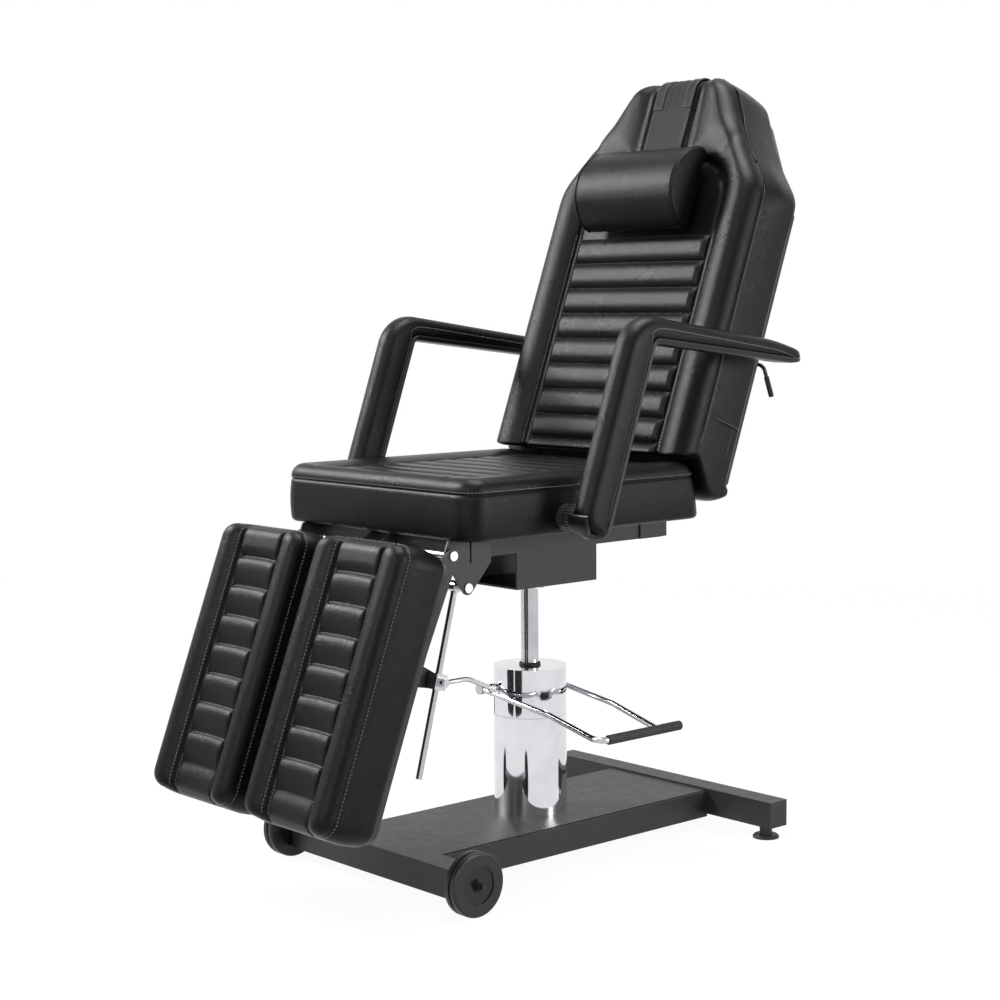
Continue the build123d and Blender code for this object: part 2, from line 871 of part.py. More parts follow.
with BuildPart() as piston_rod:
    bar_z(0, pump_y, bore_radius - running_fit, (piston_bottom_z, piston_bottom_z + piston_height))
    bar_z(0, pump_y, rod_radius, (piston_bottom_z + piston_height, rod_shoulder_z))
    bar_z(0, pump_y, spindle_radius, (rod_shoulder_z, spindle_top_z))
write(piston_rod.part, "piston_rod")

with BuildPart() as spindle_bolt:
    bar_z(0, pump_y, spindle_washer_radius, (spindle_top_z, spindle_top_z + washer_thickness))
    bolt_z = spindle_top_z + washer_thickness
    hexagon_z(0, pump_y, nut_across_flats, (bolt_z, bolt_z + bolt_head_height))
write(spindle_bolt.part, "spindle_bolt")


# Pump pedal: a shaft through the pump, a bent rod loop and its rubber sleeve

hub_y = (pedal_hub_y - pedal_hub_width / 2, pedal_hub_y + pedal_hub_width / 2)
near_y = pump_y - pedal_near_y
far_y = pump_y + pedal_far_y
bar_end_y = pump_y + pedal_bar_far_y
pedal_start = (pedal_shaft_x, pump_y - pedal_hub_y, pedal_shaft_z)
pedal_near_elbow = (pedal_elbow_x, pump_y - (pedal_hub_y + pedal_near_y) / 2, pedal_elbow_z)
pedal_far_start = (pedal_shaft_x, pump_y + pedal_hub_y, pedal_shaft_z)
pedal_far_elbow = (pedal_elbow_x, pump_y + (pedal_hub_y + pedal_far_y) / 2, pedal_elbow_z)
pedal_far_end = (pedal_bar_x, far_y, pedal_bar_z)
sleeve_y = (near_y + pedal_corner_radius, bar_end_y + pedal_rod_radius / 2)

with BuildPart() as pedal_loop:
    pedal_near_corner = (pedal_bar_x, near_y, pedal_bar_z)
    pedal_bar_end = (pedal_bar_x, bar_end_y, pedal_bar_z)
    near_points = (pedal_start, pedal_near_elbow, pedal_near_corner, pedal_bar_end)
    rod(near_points, pedal_rod_radius, pedal_corner_radius)
    rod((pedal_far_start, pedal_far_elbow, pedal_far_end), pedal_rod_radius, pedal_corner_radius)
    for side in (-1, 1):
        span = sorted((pump_y + side * hub_y[0], pump_y + side * hub_y[1]))
        bar_y(pedal_shaft_x, pedal_shaft_z, pedal_hub_radius, span)
    bar_y(pedal_shaft_x, pedal_shaft_z, pedal_shaft_radius, (pump_y - hub_y[1], pump_y + hub_y[1]))
write(pedal_loop.part, "pedal_loop")

with BuildPart() as pedal_sleeve:
    bar_y(pedal_bar_x, pedal_bar_z, pedal_sleeve_radius, sleeve_y)
    fillet(edges().filter_by(GeomType.CIRCLE), radius=pedal_sleeve_radius - pedal_rod_radius)
    bar_y(pedal_bar_x, pedal_bar_z, pedal_rod_radius, (sleeve_y[0], bar_end_y), Mode.SUBTRACT)
    notch = pedal_sleeve_radius
    block(
        (pedal_bar_x - pedal_sleeve_radius, pedal_bar_x),
        (far_y - notch, far_y + notch),
        (pedal_bar_z - notch, pedal_bar_z + pedal_sleeve_radius),
        Mode.SUBTRACT,
    )
write(pedal_sleeve.part, "pedal_sleeve")


# Mechanism box on the piston, and the rails that carry the seat

collar_z = (rod_shoulder_z + face_gap, box_bottom_z)
bush_top_z = spindle_top_z - face_gap
rail_inner_x = rail_outer_x - rail_flange
front_cross_y = (ahead(front_cross_front), ahead(front_cross_front) + cross_tube_width)
rear_cross_y = (behind(rear_cross_rear) - cross_tube_width, behind(rear_cross_rear))
tail_top_z = rail_bottom_z + rail_tail_height
front_cross_z = (seat_bottom_z - cross_tube_height, seat_bottom_z)
rear_cross_z = (tail_top_z - cross_tube_height, tail_top_z)

with BuildPart() as swivel_bush:
    bar_z(0, pump_y, collar_radius, collar_z)
    bar_z(0, pump_y, bush_radius, (collar_z[1], bush_top_z))
    bar_z(0, pump_y, spindle_radius + running_fit, (collar_z[0], bush_top_z), Mode.SUBTRACT)
write(swivel_bush.part, "swivel_bush")

with BuildPart() as mechanism_box:
    box_y = (ahead(box_front), behind(box_rear))
    block((-box_half_width, box_half_width), box_y, (box_bottom_z, rail_bottom_z))
    block(
        (box_wall - box_half_width, box_half_width - box_wall),
        box_y,
        (box_bottom_z + box_wall, rail_bottom_z - box_wall),
        Mode.SUBTRACT,
    )
    bar_z(0, pump_y, bush_radius, (box_bottom_z, rail_bottom_z), Mode.SUBTRACT)
write(mechanism_box.part, "mechanism_box")

with BuildPart() as seat_rails:
    block((rail_inner_x, rail_outer_x), (front_cross_y[1], behind(rail_rear)), (rail_bottom_z, seat_bottom_z))
    block(
        (rail_inner_x, rail_outer_x - rail_wall),
        (front_cross_y[1], behind(rail_rear)),
        (rail_bottom_z + rail_wall, seat_bottom_z - rail_wall),
        Mode.SUBTRACT,
    )
    block(
        (rail_inner_x, rail_outer_x),
        (behind(rail_tail_start), behind(rail_rear)),
        (tail_top_z, seat_bottom_z),
        Mode.SUBTRACT,
    )
    lug_x = (rail_outer_x, rail_outer_x + lug_thickness)
    lug_y = (back_pivot_at[0] - lug_foot_reach, back_pivot_at[0] + lug_foot_reach)
    tail_corners = [(y, z) for y in lug_y for z in (rail_bottom_z, tail_top_z)]
    hull_x(tail_corners, ((*back_pivot_at, lug_radius),), lug_x)
    bar_x(*back_pivot_at, back_pin_radius, lug_x, Mode.SUBTRACT)
    mirror(about=Plane.YZ)
write(seat_rails.part, "seat_rails")

with BuildPart() as cross_tubes:
    block((-front_cross_half_length, front_cross_half_length), front_cross_y, front_cross_z)
    block(
        (-front_cross_half_length, front_cross_half_length),
        (front_cross_y[0] + base_wall, front_cross_y[1] - base_wall),
        (front_cross_z[0] + base_wall, front_cross_z[1] - base_wall),
        Mode.SUBTRACT,
    )
    tube_half_length = rail_outer_x - rail_wall
    block((-tube_half_length, tube_half_length), rear_cross_y, rear_cross_z)
    block(
        (-tube_half_length, tube_half_length),
        (rear_cross_y[0] + base_wall, rear_cross_y[1] - base_wall),
        (rear_cross_z[0] + base_wall, rear_cross_z[1] - base_wall),
        Mode.SUBTRACT,
    )
    block(
        (rail_inner_x, tube_half_length),
        rear_cross_y,
        (rail_bottom_z, rail_bottom_z + rail_wall),
        Mode.SUBTRACT,
    )
    lug_inner_x = spring_eye_half_width + face_gap
    corners = (
        (rear_cross_y[1], rear_cross_z[0]),
        (rear_cross_y[1], rear_cross_z[1]),
    )
    low_round = (*spring_low_at, spring_lug_radius)
    hull_x((*corners, spring_low_at), (low_round,), (lug_inner_x, lug_inner_x + spring_lug_thickness))
    mirror(about=Plane.YZ)
    bar_x(*spring_low_at, spring_pin_radius, (-lug_inner_x - spring_lug_thickness, 0), Mode.SUBTRACT)
    bar_x(*spring_low_at, spring_pin_radius, (0, lug_inner_x + spring_lug_thickness), Mode.SUBTRACT)
write(cross_tubes.part, "cross_tubes")


# Seat: a plywood board with side cleats, under a crowned cushion

board_half_width = seat_half_width - seat_board_inset
board_y = (ahead(seat_front) + seat_board_inset, behind(seat_rear_top) - seat_board_inset)
cleat_x = (board_half_width - cleat_width, board_half_width)
cleat_y = (arm_pivot_at[0] - cleat_length / 2, arm_pivot_at[0] + cleat_length / 2)
cleat_z = (seat_bottom_z + seat_board_thickness, seat_bottom_z + seat_board_thickness + cleat_height)
seat_panel_y = (ahead(seat_front) + seat_panel_front, behind(seat_rear_bottom) + overrun)
seat_rib_pitch = (behind(seat_rear_top) - seat_panel_y[0]) / seat_rib_count

with BuildPart() as seat_board:
    block((-board_half_width, board_half_width), board_y, (seat_bottom_z, cleat_z[0]))
    fillet(edges().filter_by(Axis.Z), radius=seat_corner - seat_board_inset)
    block(cleat_x, cleat_y, cleat_z)
    bar_x(*arm_pivot_at, arm_bolt_radius, cleat_x, Mode.SUBTRACT)
    block((-cleat_x[1], -cleat_x[0]), cleat_y, cleat_z)
    bar_x(*arm_pivot_at, arm_bolt_radius, (-cleat_x[1], -cleat_x[0]), Mode.SUBTRACT)
write(seat_board.part, "seat_board")

with BuildPart() as seat_cushion:
    seat_corners = (
        (-seat_half_width, ahead(seat_front)),
        (seat_half_width, ahead(seat_front)),
        (seat_half_width, behind(seat_rear_bottom)),
        (-seat_half_width, behind(seat_rear_bottom)),
    )
    crowned_block(seat_front_plane, seat_corners, seat_corner, seat_bottom_z - seat_top_z, 0, seat_edge)
    sunken_panel(
        seat_front_plane, 0, seat_panel_half_width, -seat_panel_drop, 0, seat_flare, seat_panel_y
    )
    ribs(
        seat_front_plane,
        seat_panel_y[0],
        seat_rib_pitch,
        seat_rib_count,
        -seat_panel_drop,
        seat_rib_crown,
        (-seat_panel_half_width, seat_panel_half_width),
    )
    plate_x(
        (
            (behind(seat_rear_bottom), seat_bottom_z),
            (behind(seat_rear_top), seat_top_z),
            (behind(seat_rear_top), seat_top_z + overrun),
            (behind(seat_rear_bottom) + overrun, seat_top_z + overrun),
            (behind(seat_rear_bottom) + overrun, seat_bottom_z),
        ),
        (-seat_half_width - overrun, seat_half_width + overrun),
        Mode.SUBTRACT,
    )
    block((-board_half_width, board_half_width), board_y, (seat_bottom_z, cleat_z[0]), Mode.SUBTRACT)
    for side in (-1, 1):
        cleat_span = sorted((side * cleat_x[0], side * cleat_x[1]))
        hole_span = sorted((side * cleat_x[1], side * seat_half_width))
        block(cleat_span, cleat_y, cleat_z, Mode.SUBTRACT)
        bar_x(*arm_pivot_at, arm_bolt_radius + soft_gap, hole_span, Mode.SUBTRACT)
write(seat_cushion.part, "seat_cushion")


# Backrest: steel frame, plywood board and a cushion with two side bolsters

pin_end_x = lug_inner_x + spring_lug_thickness
board_back_out = -back_depth - back_board_thickness
strip_back_out = board_back_out - back_strip_depth
arm_x = (back_arm_x, back_arm_x + back_arm_thickness)
back_plate_out = (board_back_out - cross_bar_thickness, board_back_out)
lever_at = (lever_height, -lever_depth)
spring_eye_at = (spring_top_height, -spring_top_depth)

with BuildPart() as back_frame:
    tail_top = (-back_tail_height, -back_tail_out)
    side_block(back_front, arm_x, (-back_tail_height, back_arm_height), (strip_back_out, board_back_out))
    side_hull(
        back_front,
        (tail_top, (-back_tail_height, strip_back_out), (0, strip_back_out)),
        ((*back_pivot_on_pad, back_boss_radius),),
        arm_x,
    )
    mirror(about=Plane.YZ)
    for rise in cross_bar_heights:
        side_block(back_front, (-back_arm_x, back_arm_x), (rise, rise + cross_bar_width), back_plate_out)
    plate_x_span = (-spring_plate_half_width, spring_plate_half_width)
    side_block(back_front, plate_x_span, (spring_plate_height, cross_bar_heights[0]), back_plate_out)
    lug_foot = ((spring_plate_height, back_plate_out[0]), (cross_bar_heights[0], back_plate_out[0]))
    for side in (-1, 1):
        lug_x = sorted((side * lug_inner_x, side * (lug_inner_x + spring_lug_thickness)))
        side_hull(back_front, (*lug_foot, spring_eye_at), ((*spring_eye_at, spring_lug_radius),), lug_x)
    ear_x = (lever_ear_x, lever_ear_x + lug_thickness)
    side_hull(back_front, (*lug_foot, lever_at), ((*lever_at, lever_ear_radius),), ear_x)
    ear_foot = ((spring_plate_height, strip_back_out), (cross_bar_heights[0], strip_back_out))
    side_hull(back_front, (*ear_foot, lever_at), ((*lever_at, lever_ear_radius),), arm_x)
    lever_place = on_pad(back_front, *lever_at)
    bar_x(*lever_place, lever_radius + running_fit, ear_x, Mode.SUBTRACT)
    bar_x(*lever_place, lever_radius + running_fit, arm_x, Mode.SUBTRACT)
    for side in (-1, 1):
        pivot_x = sorted((side * arm_x[0], side * arm_x[1]))
        bar_x(*back_pivot_at, back_pin_radius + running_fit, pivot_x, Mode.SUBTRACT)
write(back_frame.part, "back_frame")

with BuildPart() as frame_hinge_pins:
    head_x = arm_x[1] + face_gap
    bar_x(*back_pivot_at, back_pin_radius, (rail_outer_x, head_x))
    bar_x(*back_pivot_at, axle_collar_radius, (head_x, head_x + bolt_head_height))
    bar_x(*back_pivot_at, axle_collar_radius, (rail_outer_x - bolt_head_height, rail_outer_x))
    bar_x(*spring_low_at, spring_pin_radius, (0, pin_end_x))
    bar_x(*spring_low_at, pin_head_radius, (pin_end_x, pin_end_x + pin_head_height))
    mirror(about=Plane.YZ)
write(frame_hinge_pins.part, "frame_hinge_pins")

with BuildPart() as back_board:
    shoulder = back_half_width - back_board_inset
    head = back_head_half_width - back_board_inset
    crown_half = back_top_half_width - back_board_inset
    board_corners = (
        (-shoulder, -back_tail_height),
        (shoulder, -back_tail_height),
        (shoulder, back_shoulder_height - back_board_inset),
        (head, back_head_height - back_board_inset),
        (crown_half, back_top_height - back_board_inset),
        (-crown_half, back_top_height - back_board_inset),
        (-head, back_head_height - back_board_inset),
        (-shoulder, back_shoulder_height - back_board_inset),
    )
    pad_outline(back_front, board_corners, back_board_inset, (board_back_out, -back_depth))
write(back_board.part, "back_board")

with BuildPart() as back_frame_screws:
    bar_x(*spring_top_at, pin_head_radius, (pin_end_x, pin_end_x + pin_head_height))
    mirror(about=Plane.YZ)
    for rise in cross_bar_heights:
        centre_rise = rise + cross_bar_width / 2
        start = back_front.origin + back_front.y_dir * centre_rise + back_front.z_dir * back_plate_out[0]
        with BuildSketch(Plane(origin=start, x_dir=(1, 0, 0), z_dir=-back_front.z_dir)) as screw_heads:
            with Locations((-screw_across, 0), (screw_across, 0)):
                Circle(screw_head_radius)
        extrude(screw_heads.sketch, amount=screw_head_height)
write(back_frame_screws.part, "back_frame_screws")

with BuildPart() as back_cushion:
    back_corners = (
        (-back_half_width, -back_tail_reach),
        (back_half_width, -back_tail_reach),
        (back_half_width, back_shoulder_height),
        (back_head_half_width, back_head_height),
        (back_top_half_width, back_top_height),
        (-back_top_half_width, back_top_height),
        (-back_head_half_width, back_head_height),
        (-back_half_width, back_shoulder_height),
    )
    crowned_block(back_front, back_corners, back_corner, -back_tail_out, back_crown, back_edge)
    sunken_panel(
        back_front,
        0,
        back_panel_half_width,
        back_panel_level,
        back_crown,
        back_flare,
        (-back_tail_reach - overrun, back_panel_height),
    )
    sunken_panel(
        back_front,
        0,
        head_channel_half_width,
        head_channel_level,
        back_crown,
        head_flare,
        (back_panel_height - overrun, back_top_height + overrun),
    )
    ribs(
        back_front,
        back_rib_start,
        back_rib_pitch,
        back_rib_count,
        back_panel_level,
        back_rib_crown,
        (-back_panel_half_width, back_panel_half_width),
    )
    mitre_run = mitre_drop / mitre_depth
    rim_out = back_crown + overrun
    rim_rise = back_top_height + overrun
    foot_drop = seat_top_z + back_foot_gap - back_front_z
    tilt = radians(back_lean)
    foot_rise = (foot_drop - rim_out * sin(tilt)) / cos(tilt)
    heel_out = foot_drop / (mitre_run * cos(tilt) + sin(tilt))
    with BuildSketch(side_plane(back_front, 0)) as tail:
        with BuildLine():
            Polyline(
                (rim_rise, -back_tail_out),
                (rim_rise, rim_out),
                (foot_rise, rim_out),
                (heel_out * mitre_run, heel_out),
                (-mitre_drop, -mitre_depth),
                (-back_tail_drop, -back_tail_reach),
                (-back_tail_height, -back_tail_out),
                close=True,
            )
        make_face()
        fillet(tail.vertices().sort_by(Axis.X)[:2], radius=back_tail_radius)
    extrude(tail.sketch, amount=back_half_width, both=True, mode=Mode.INTERSECT)
    side_block(
        back_front,
        (-back_half_width, back_half_width),
        (-back_tail_height, rim_rise),
        (-back_tail_out, -back_depth),
        Mode.SUBTRACT,
    )
write(back_cushion.part, "back_cushion")


# Head pillow, and the strap that holds it

strap_out = head_channel_level + soft_gap + strap_thickness / 2
strap_back_out = board_back_out - soft_gap - strap_thickness / 2
strap_top_rise = back_top_height + soft_gap + strap_thickness / 2

with BuildPart() as head_strap:
    with BuildSketch(side_plane(back_front, 0)) as strap_side:
        with BuildLine():
            FilletPolyline(
                (strap_front_end, strap_out),
                (strap_top_rise, strap_out),
                (strap_top_rise, 0),
                radius=strap_bend,
            )
            Polyline((strap_top_rise, 0), (strap_top_rise, strap_back_out), (strap_rear_end, strap_back_out))
        trace(line_width=strap_thickness)
    extrude(strap_side.sketch, amount=strap_half_width, both=True)
write(head_strap.part, "head_strap")

with BuildPart() as head_pillow:
    pillow_out = back_crown + soft_gap
    pillow_middle = (pillow_bottom_height + pillow_top_height) / 2
    with BuildSketch(side_plane(back_front, 0)) as pillow_end:
        with BuildLine():
            Line((pillow_bottom_height, pillow_out), (pillow_top_height, pillow_out))
            ThreePointArc(
                (pillow_bottom_height, pillow_out),
                (pillow_middle, pillow_out + pillow_depth),
                (pillow_top_height, pillow_out),
            )
        make_face()
    extrude(pillow_end.sketch, amount=pillow_half_length, both=True)
    fillet(faces().filter_by(Axis.X).edges(), radius=pillow_edge)
write(head_pillow.part, "head_pillow")


# Gas spring under the backrest, and its release lever

body_top = spring_eye_radius + spring_body_length

with BuildPart() as gas_spring_cylinder:
    bar_x(*spring_low_at, spring_eye_radius, (-spring_eye_half_width, spring_eye_half_width))
    bar_up_pad(spring_front, 0, 0, spring_radius, (spring_eye_radius, body_top))
    bar_up_pad(spring_front, 0, 0, spring_rod_radius, (0, spring_eye_radius))
    gland_start = body_top - spring_gland
    bar_up_pad(spring_front, 0, 0, spring_bore_radius, (spring_floor, gland_start), Mode.SUBTRACT)
    bar_up_pad(spring_front, 0, 0, spring_rod_radius + running_fit, (gland_start, body_top), Mode.SUBTRACT)
    bar_x(
        *spring_low_at,
        spring_pin_radius + running_fit,
        (-spring_eye_half_width, spring_eye_half_width),
        Mode.SUBTRACT,
    )
write(gas_spring_cylinder.part, "gas_spring_cylinder")

with BuildPart() as gas_spring_rod:
    piston_top = spring_piston_start + spring_piston_height
    bar_up_pad(spring_front, 0, 0, spring_bore_radius - running_fit, (spring_piston_start, piston_top))
    bar_up_pad(spring_front, 0, 0, spring_rod_radius, (piston_top, spring_length))
    bar_x(*spring_top_at, spring_eye_radius, (-spring_eye_half_width, spring_eye_half_width))
write(gas_spring_rod.part, "gas_spring_rod")

with BuildPart() as recline_lever:
    hang_at = (lever_place[0] + lever_drop_back, lever_place[1] - lever_drop)
    grip_reach = (lever_drop - lever_grip_length) / lever_drop
    grip_start = (
        lever_place[0] + lever_drop_back * grip_reach,
        lever_place[1] - lever_drop * grip_reach,
    )
    rod(
        ((lever_cam_x, *lever_place), (lever_end_x, *lever_place), (lever_end_x, *hang_at)),
        lever_radius,
        lever_bend,
    )
    bar_x(*lever_place, lever_cam_radius, (lever_cam_x, lever_cam_x + lever_cam_width))
    grip_foot = Vector(lever_end_x, *grip_start)
    grip_run = Vector(lever_end_x, *hang_at) - grip_foot
    with BuildSketch(Plane(origin=grip_foot, z_dir=grip_run.normalized())) as grip:
        Circle(lever_grip_radius)
    extrude(grip.sketch, amount=grip_run.length)
write(recline_lever.part, "recline_lever")


# Brackets and pivot bars that carry the leg rests and their support rods

bracket_x_span = (bracket_x, bracket_x + bracket_thickness)
outer_arm_x = (leg_outer_arm_x, leg_outer_arm_x + leg_arm_thickness)
inner_arm_x = (leg_arm_inner_x, leg_arm_inner_x + leg_arm_thickness)

with BuildPart() as leg_brackets:
    bracket_corners = (
        (ahead(bracket_front), seat_bottom_z),
        (ahead(bracket_rear), seat_bottom_z),
        (ahead(bracket_rear), bracket_step_z),
    )
    hull_x(
        bracket_corners,
        ((*leg_hinge_at, bracket_radius), (*support_at, bracket_radius)),
        bracket_x_span,
    )
    slot_y = ahead(bracket_slot_y)
    block(
        bracket_x_span,
        (slot_y - bracket_slot_width / 2, slot_y + bracket_slot_width / 2),
        (bracket_slot_z, bracket_slot_z + bracket_slot_height),
        Mode.SUBTRACT,
    )
    block(
        (bracket_x - bracket_flange, bracket_x),
        (front_cross_y[1], ahead(bracket_rear)),
        (seat_bottom_z - bracket_thickness, seat_bottom_z),
    )
    hull_x(
        (
            (front_cross_y[0], front_cross_z[0]),
            (front_cross_y[0], front_cross_z[1]),
            leg_hinge_at,
        ),
        ((*leg_hinge_at, bracket_radius),),
        (centre_lug_x, centre_lug_x + lug_thickness),
    )
    bar_x(*leg_hinge_at, leg_hinge_radius, (0, bracket_x_span[1]), Mode.SUBTRACT)
    bar_x(*support_at, support_bar_radius, bracket_x_span, Mode.SUBTRACT)
    mirror(about=Plane.YZ)
write(leg_brackets.part, "leg_brackets")

with BuildPart() as leg_pivot_bars:
    hinge_end_x = outer_arm_x[1] + face_gap
    bar_x(*leg_hinge_at, leg_hinge_radius, (0, hinge_end_x))
    bar_x(*leg_hinge_at, rivet_radius, (hinge_end_x, hinge_end_x + rivet_height))
    bar_x(*support_at, support_bar_radius, (0, bracket_x_span[1]))
    bar_x(*support_at, rivet_radius, (bracket_x_span[1], bracket_x_span[1] + rivet_height))
    mirror(about=Plane.YZ)
write(leg_pivot_bars.part, "leg_pivot_bars")


# Leg rests: frame, plywood board and cushion

leg_centre_x = (leg_inner_x + leg_outer_x) / 2
leg_board_out = (-leg_depth - leg_board_thickness, -leg_depth)
leg_arm_out = leg_board_out[0] - leg_arm_depth
leg_hinge_on_pad = pad_place(leg_front, *leg_hinge_at)
clamp_on_pad = pad_place(leg_front, *clamp_at)

with BuildPart() as leg_frame:
    arm_foot_rise = leg_top_height - leg_board_inset - leg_arm_length
    strip_points = (
        (arm_foot_rise, leg_board_out[0]),
        (arm_foot_rise, leg_arm_out),
        (leg_top_height - leg_board_inset, leg_board_out[0]),
    )
    for arm_span in (inner_arm_x, outer_arm_x):
        side_hull(leg_front, strip_points, ((*leg_hinge_on_pad, leg_boss_radius),), arm_span)
    strap_out_span = (leg_board_out[0] - leg_arm_thickness, leg_board_out[0])
    for rise in leg_strap_heights:
        strap_rise = (rise - leg_strap_width / 2, rise + leg_strap_width / 2)
        side_block(leg_front, (inner_arm_x[0], outer_arm_x[1]), strap_rise, strap_out_span)
    clamp_foot = (
        (clamp_on_pad[0] - leg_lug_half_height, leg_board_out[0]),
        (clamp_on_pad[0] + leg_lug_half_height, leg_board_out[0]),
        clamp_on_pad,
    )
    lug_span = (clamp_lug_x, clamp_lug_x + clamp_lug_thickness)
    side_hull(leg_front, clamp_foot, ((*clamp_on_pad, clamp_lug_radius),), lug_span)
    side_block(
        leg_front,
        (clamp_lug_x - clamp_lug_radius, clamp_lug_x),
        (clamp_on_pad[0] - leg_lug_half_height, clamp_on_pad[0] + leg_lug_half_height),
        strap_out_span,
    )
    bar_x(*leg_hinge_at, leg_hinge_radius + running_fit, inner_arm_x, Mode.SUBTRACT)
    bar_x(*leg_hinge_at, leg_hinge_radius + running_fit, outer_arm_x, Mode.SUBTRACT)
write_pair(leg_frame.part, "leg_frame")

with BuildPart() as leg_board:
    leg_board_corners = (
        (leg_inner_x + leg_board_inset, leg_top_height - leg_board_inset),
        (leg_outer_x - leg_board_inset, leg_top_height - leg_board_inset),
        (leg_outer_x - leg_board_inset, leg_board_inset - leg_bottom_drop),
        (leg_inner_x + leg_board_inset, leg_board_inset - leg_bottom_drop),
    )
    pad_outline(leg_front, leg_board_corners, leg_corner - leg_board_inset, leg_board_out)
write_pair(leg_board.part, "leg_board")

with BuildPart() as leg_cushion:
    leg_corners = (
        (leg_inner_x, leg_top_height),
        (leg_outer_x, leg_top_height),
        (leg_outer_x, -leg_bottom_drop),
        (leg_inner_x, -leg_bottom_drop),
    )
    crowned_block(leg_front, leg_corners, leg_corner, -leg_depth, 0, leg_edge)
    sunken_panel(
        leg_front,
        leg_centre_x,
        leg_strip_half_width,
        -leg_strip_drop,
        0,
        leg_flare,
        (-leg_bottom_drop - overrun, leg_top_height + overrun),
    )
    ribs(
        leg_front,
        -leg_rib_start,
        leg_rib_pitch,
        leg_rib_count,
        -leg_strip_drop,
        leg_rib_crown,
        (leg_centre_x - leg_strip_half_width, leg_centre_x + leg_strip_half_width),
    )
write_pair(leg_cushion.part, "leg_cushion")


# Support rods with their sliding clamps and clamp levers

with BuildPart() as support_rod:
    eye_x = (support_x - support_eye_half_width, support_x + support_eye_half_width)
    bar_x(*support_at, support_eye_radius, eye_x)
    bar_up_pad(support_front, support_x, 0, support_rod_radius, (-support_rod_length, 0))
    bar_x(*support_at, support_bar_radius + running_fit, eye_x, Mode.SUBTRACT)
write_pair(support_rod.part, "support_rod")

with BuildPart() as rod_clamp:
    clamp_x = (support_x - clamp_half_width, support_x + clamp_half_width)
    clamp_rise = (-clamp_reach - clamp_half_height, clamp_half_height - clamp_reach)
    side_block(support_front, clamp_x, clamp_rise, (-clamp_half_depth, clamp_half_depth))
    bar_up_pad(support_front, support_x, 0, support_rod_radius + running_fit, clamp_rise, Mode.SUBTRACT)
    bar_x(*clamp_at, clamp_pin_radius, (lug_span[1] + face_gap, clamp_x[0]))
    screw_end_x = clamp_x[1] + clamp_lever_hub_width + face_gap + face_gap
    bar_x(*clamp_at, clamp_screw_radius, (clamp_x[1], screw_end_x))
    bar_x(*clamp_at, pin_head_radius, (screw_end_x, screw_end_x + pin_head_height))
write_pair(rod_clamp.part, "rod_clamp")

with BuildPart() as clamp_lever:
    lever_hub_x = (clamp_x[1] + face_gap, clamp_x[1] + face_gap + clamp_lever_hub_width)
    lever_x = (lever_hub_x[0] + lever_hub_x[1]) / 2
    lever_tip = (lever_x, clamp_at[0] + clamp_lever_length, clamp_at[1] - clamp_lever_sag)
    lever_root = (lever_x, clamp_at[0] + clamp_screw_radius + running_fit, clamp_at[1])
    lever_knee = (lever_x, clamp_at[0] + clamp_lever_length / 2, clamp_at[1])
    rod((lever_root, lever_knee, lever_tip), clamp_lever_radius, clamp_lever_bend)
    bar_x(*clamp_at, clamp_lever_hub_radius, lever_hub_x)
    bar_x(*clamp_at, clamp_screw_radius + running_fit, lever_hub_x, Mode.SUBTRACT)
    with Locations(lever_tip):
        Sphere(clamp_lever_bulb)
write_pair(clamp_lever.part, "clamp_lever")


# Armrests: fixed and turning rosettes, moulded core and cushion

def meeting_point(first, first_angle, second, second_angle):
    """Where two lines in (y, z) meet, each given by a point and its angle from +Y in degrees."""
    steep = tan(radians(first_angle))
    slope = tan(radians(second_angle))
    y = (second[1] - first[1] + steep * first[0] - slope * second[0]) / (steep - slope)
    return y, first[1] + steep * (y - first[0])


def arm_place(forward, rise):
    """The (y, z) place on an armrest's post, from its pivot: forward of it and up the post."""
    tilt = radians(arm_lean)
    y, z = arm_pivot_at
    return y - forward * cos(tilt) + rise * sin(tilt), z + forward * sin(tilt) + rise * cos(tilt)


def arm_body(band):
    """Add an armrest's solid shape, its rear and lower edge drawn in by a band."""
    tilt = radians(arm_lean)
    post_angle = degrees(atan2(cos(tilt), sin(tilt)))
    half = arm_post_depth / 2
    crown = (ahead(-arm_crown_y), arm_crown_z)
    under = (crown[0], arm_crown_z - arm_pad_thickness + band)
    toe = arm_place(half, band - half)
    heel = arm_place(band - half, band - half)
    top_corner = meeting_point(toe, post_angle, crown, -arm_pad_slope)
    inner_corner = meeting_point(heel, post_angle, under, -arm_under_slope)
    tip_y = ahead(-arm_tip_y)
    tip_top = (tip_y, crown[1] - (tip_y - crown[0]) * tan(radians(arm_pad_slope)))
    tip_low = (tip_y, under[1] - (tip_y - under[0]) * tan(radians(arm_under_slope)))
    with BuildSketch(Plane.YZ.offset(arm_inner_x)) as profile:
        with BuildLine():
            Polyline(toe, top_corner, tip_top, tip_low, inner_corner, heel, close=True)
        make_face()
        corners = profile.vertices()
        fillet(corners.sort_by_distance((*top_corner, 0))[0], radius=arm_bend)
        fillet(profile.vertices().sort_by_distance((*toe, 0))[0], radius=arm_toe_radius)
        fillet(profile.vertices().sort_by_distance((*inner_corner, 0))[0], radius=arm_inner_bend)
        if band == 0:
            fillet(profile.vertices().sort_by_distance((*heel, 0))[0], radius=arm_foot_radius)
    extrude(profile.sketch, amount=arm_width)
    fillet(edges().filter_by(Axis.Z), radius=arm_tip_round)


hub_x = (arm_inner_x, arm_inner_x + arm_hub_width)
bolt_head_x = (arm_inner_x + arm_hub_floor + face_gap, arm_inner_x + arm_hub_floor + arm_bolt_head_height)


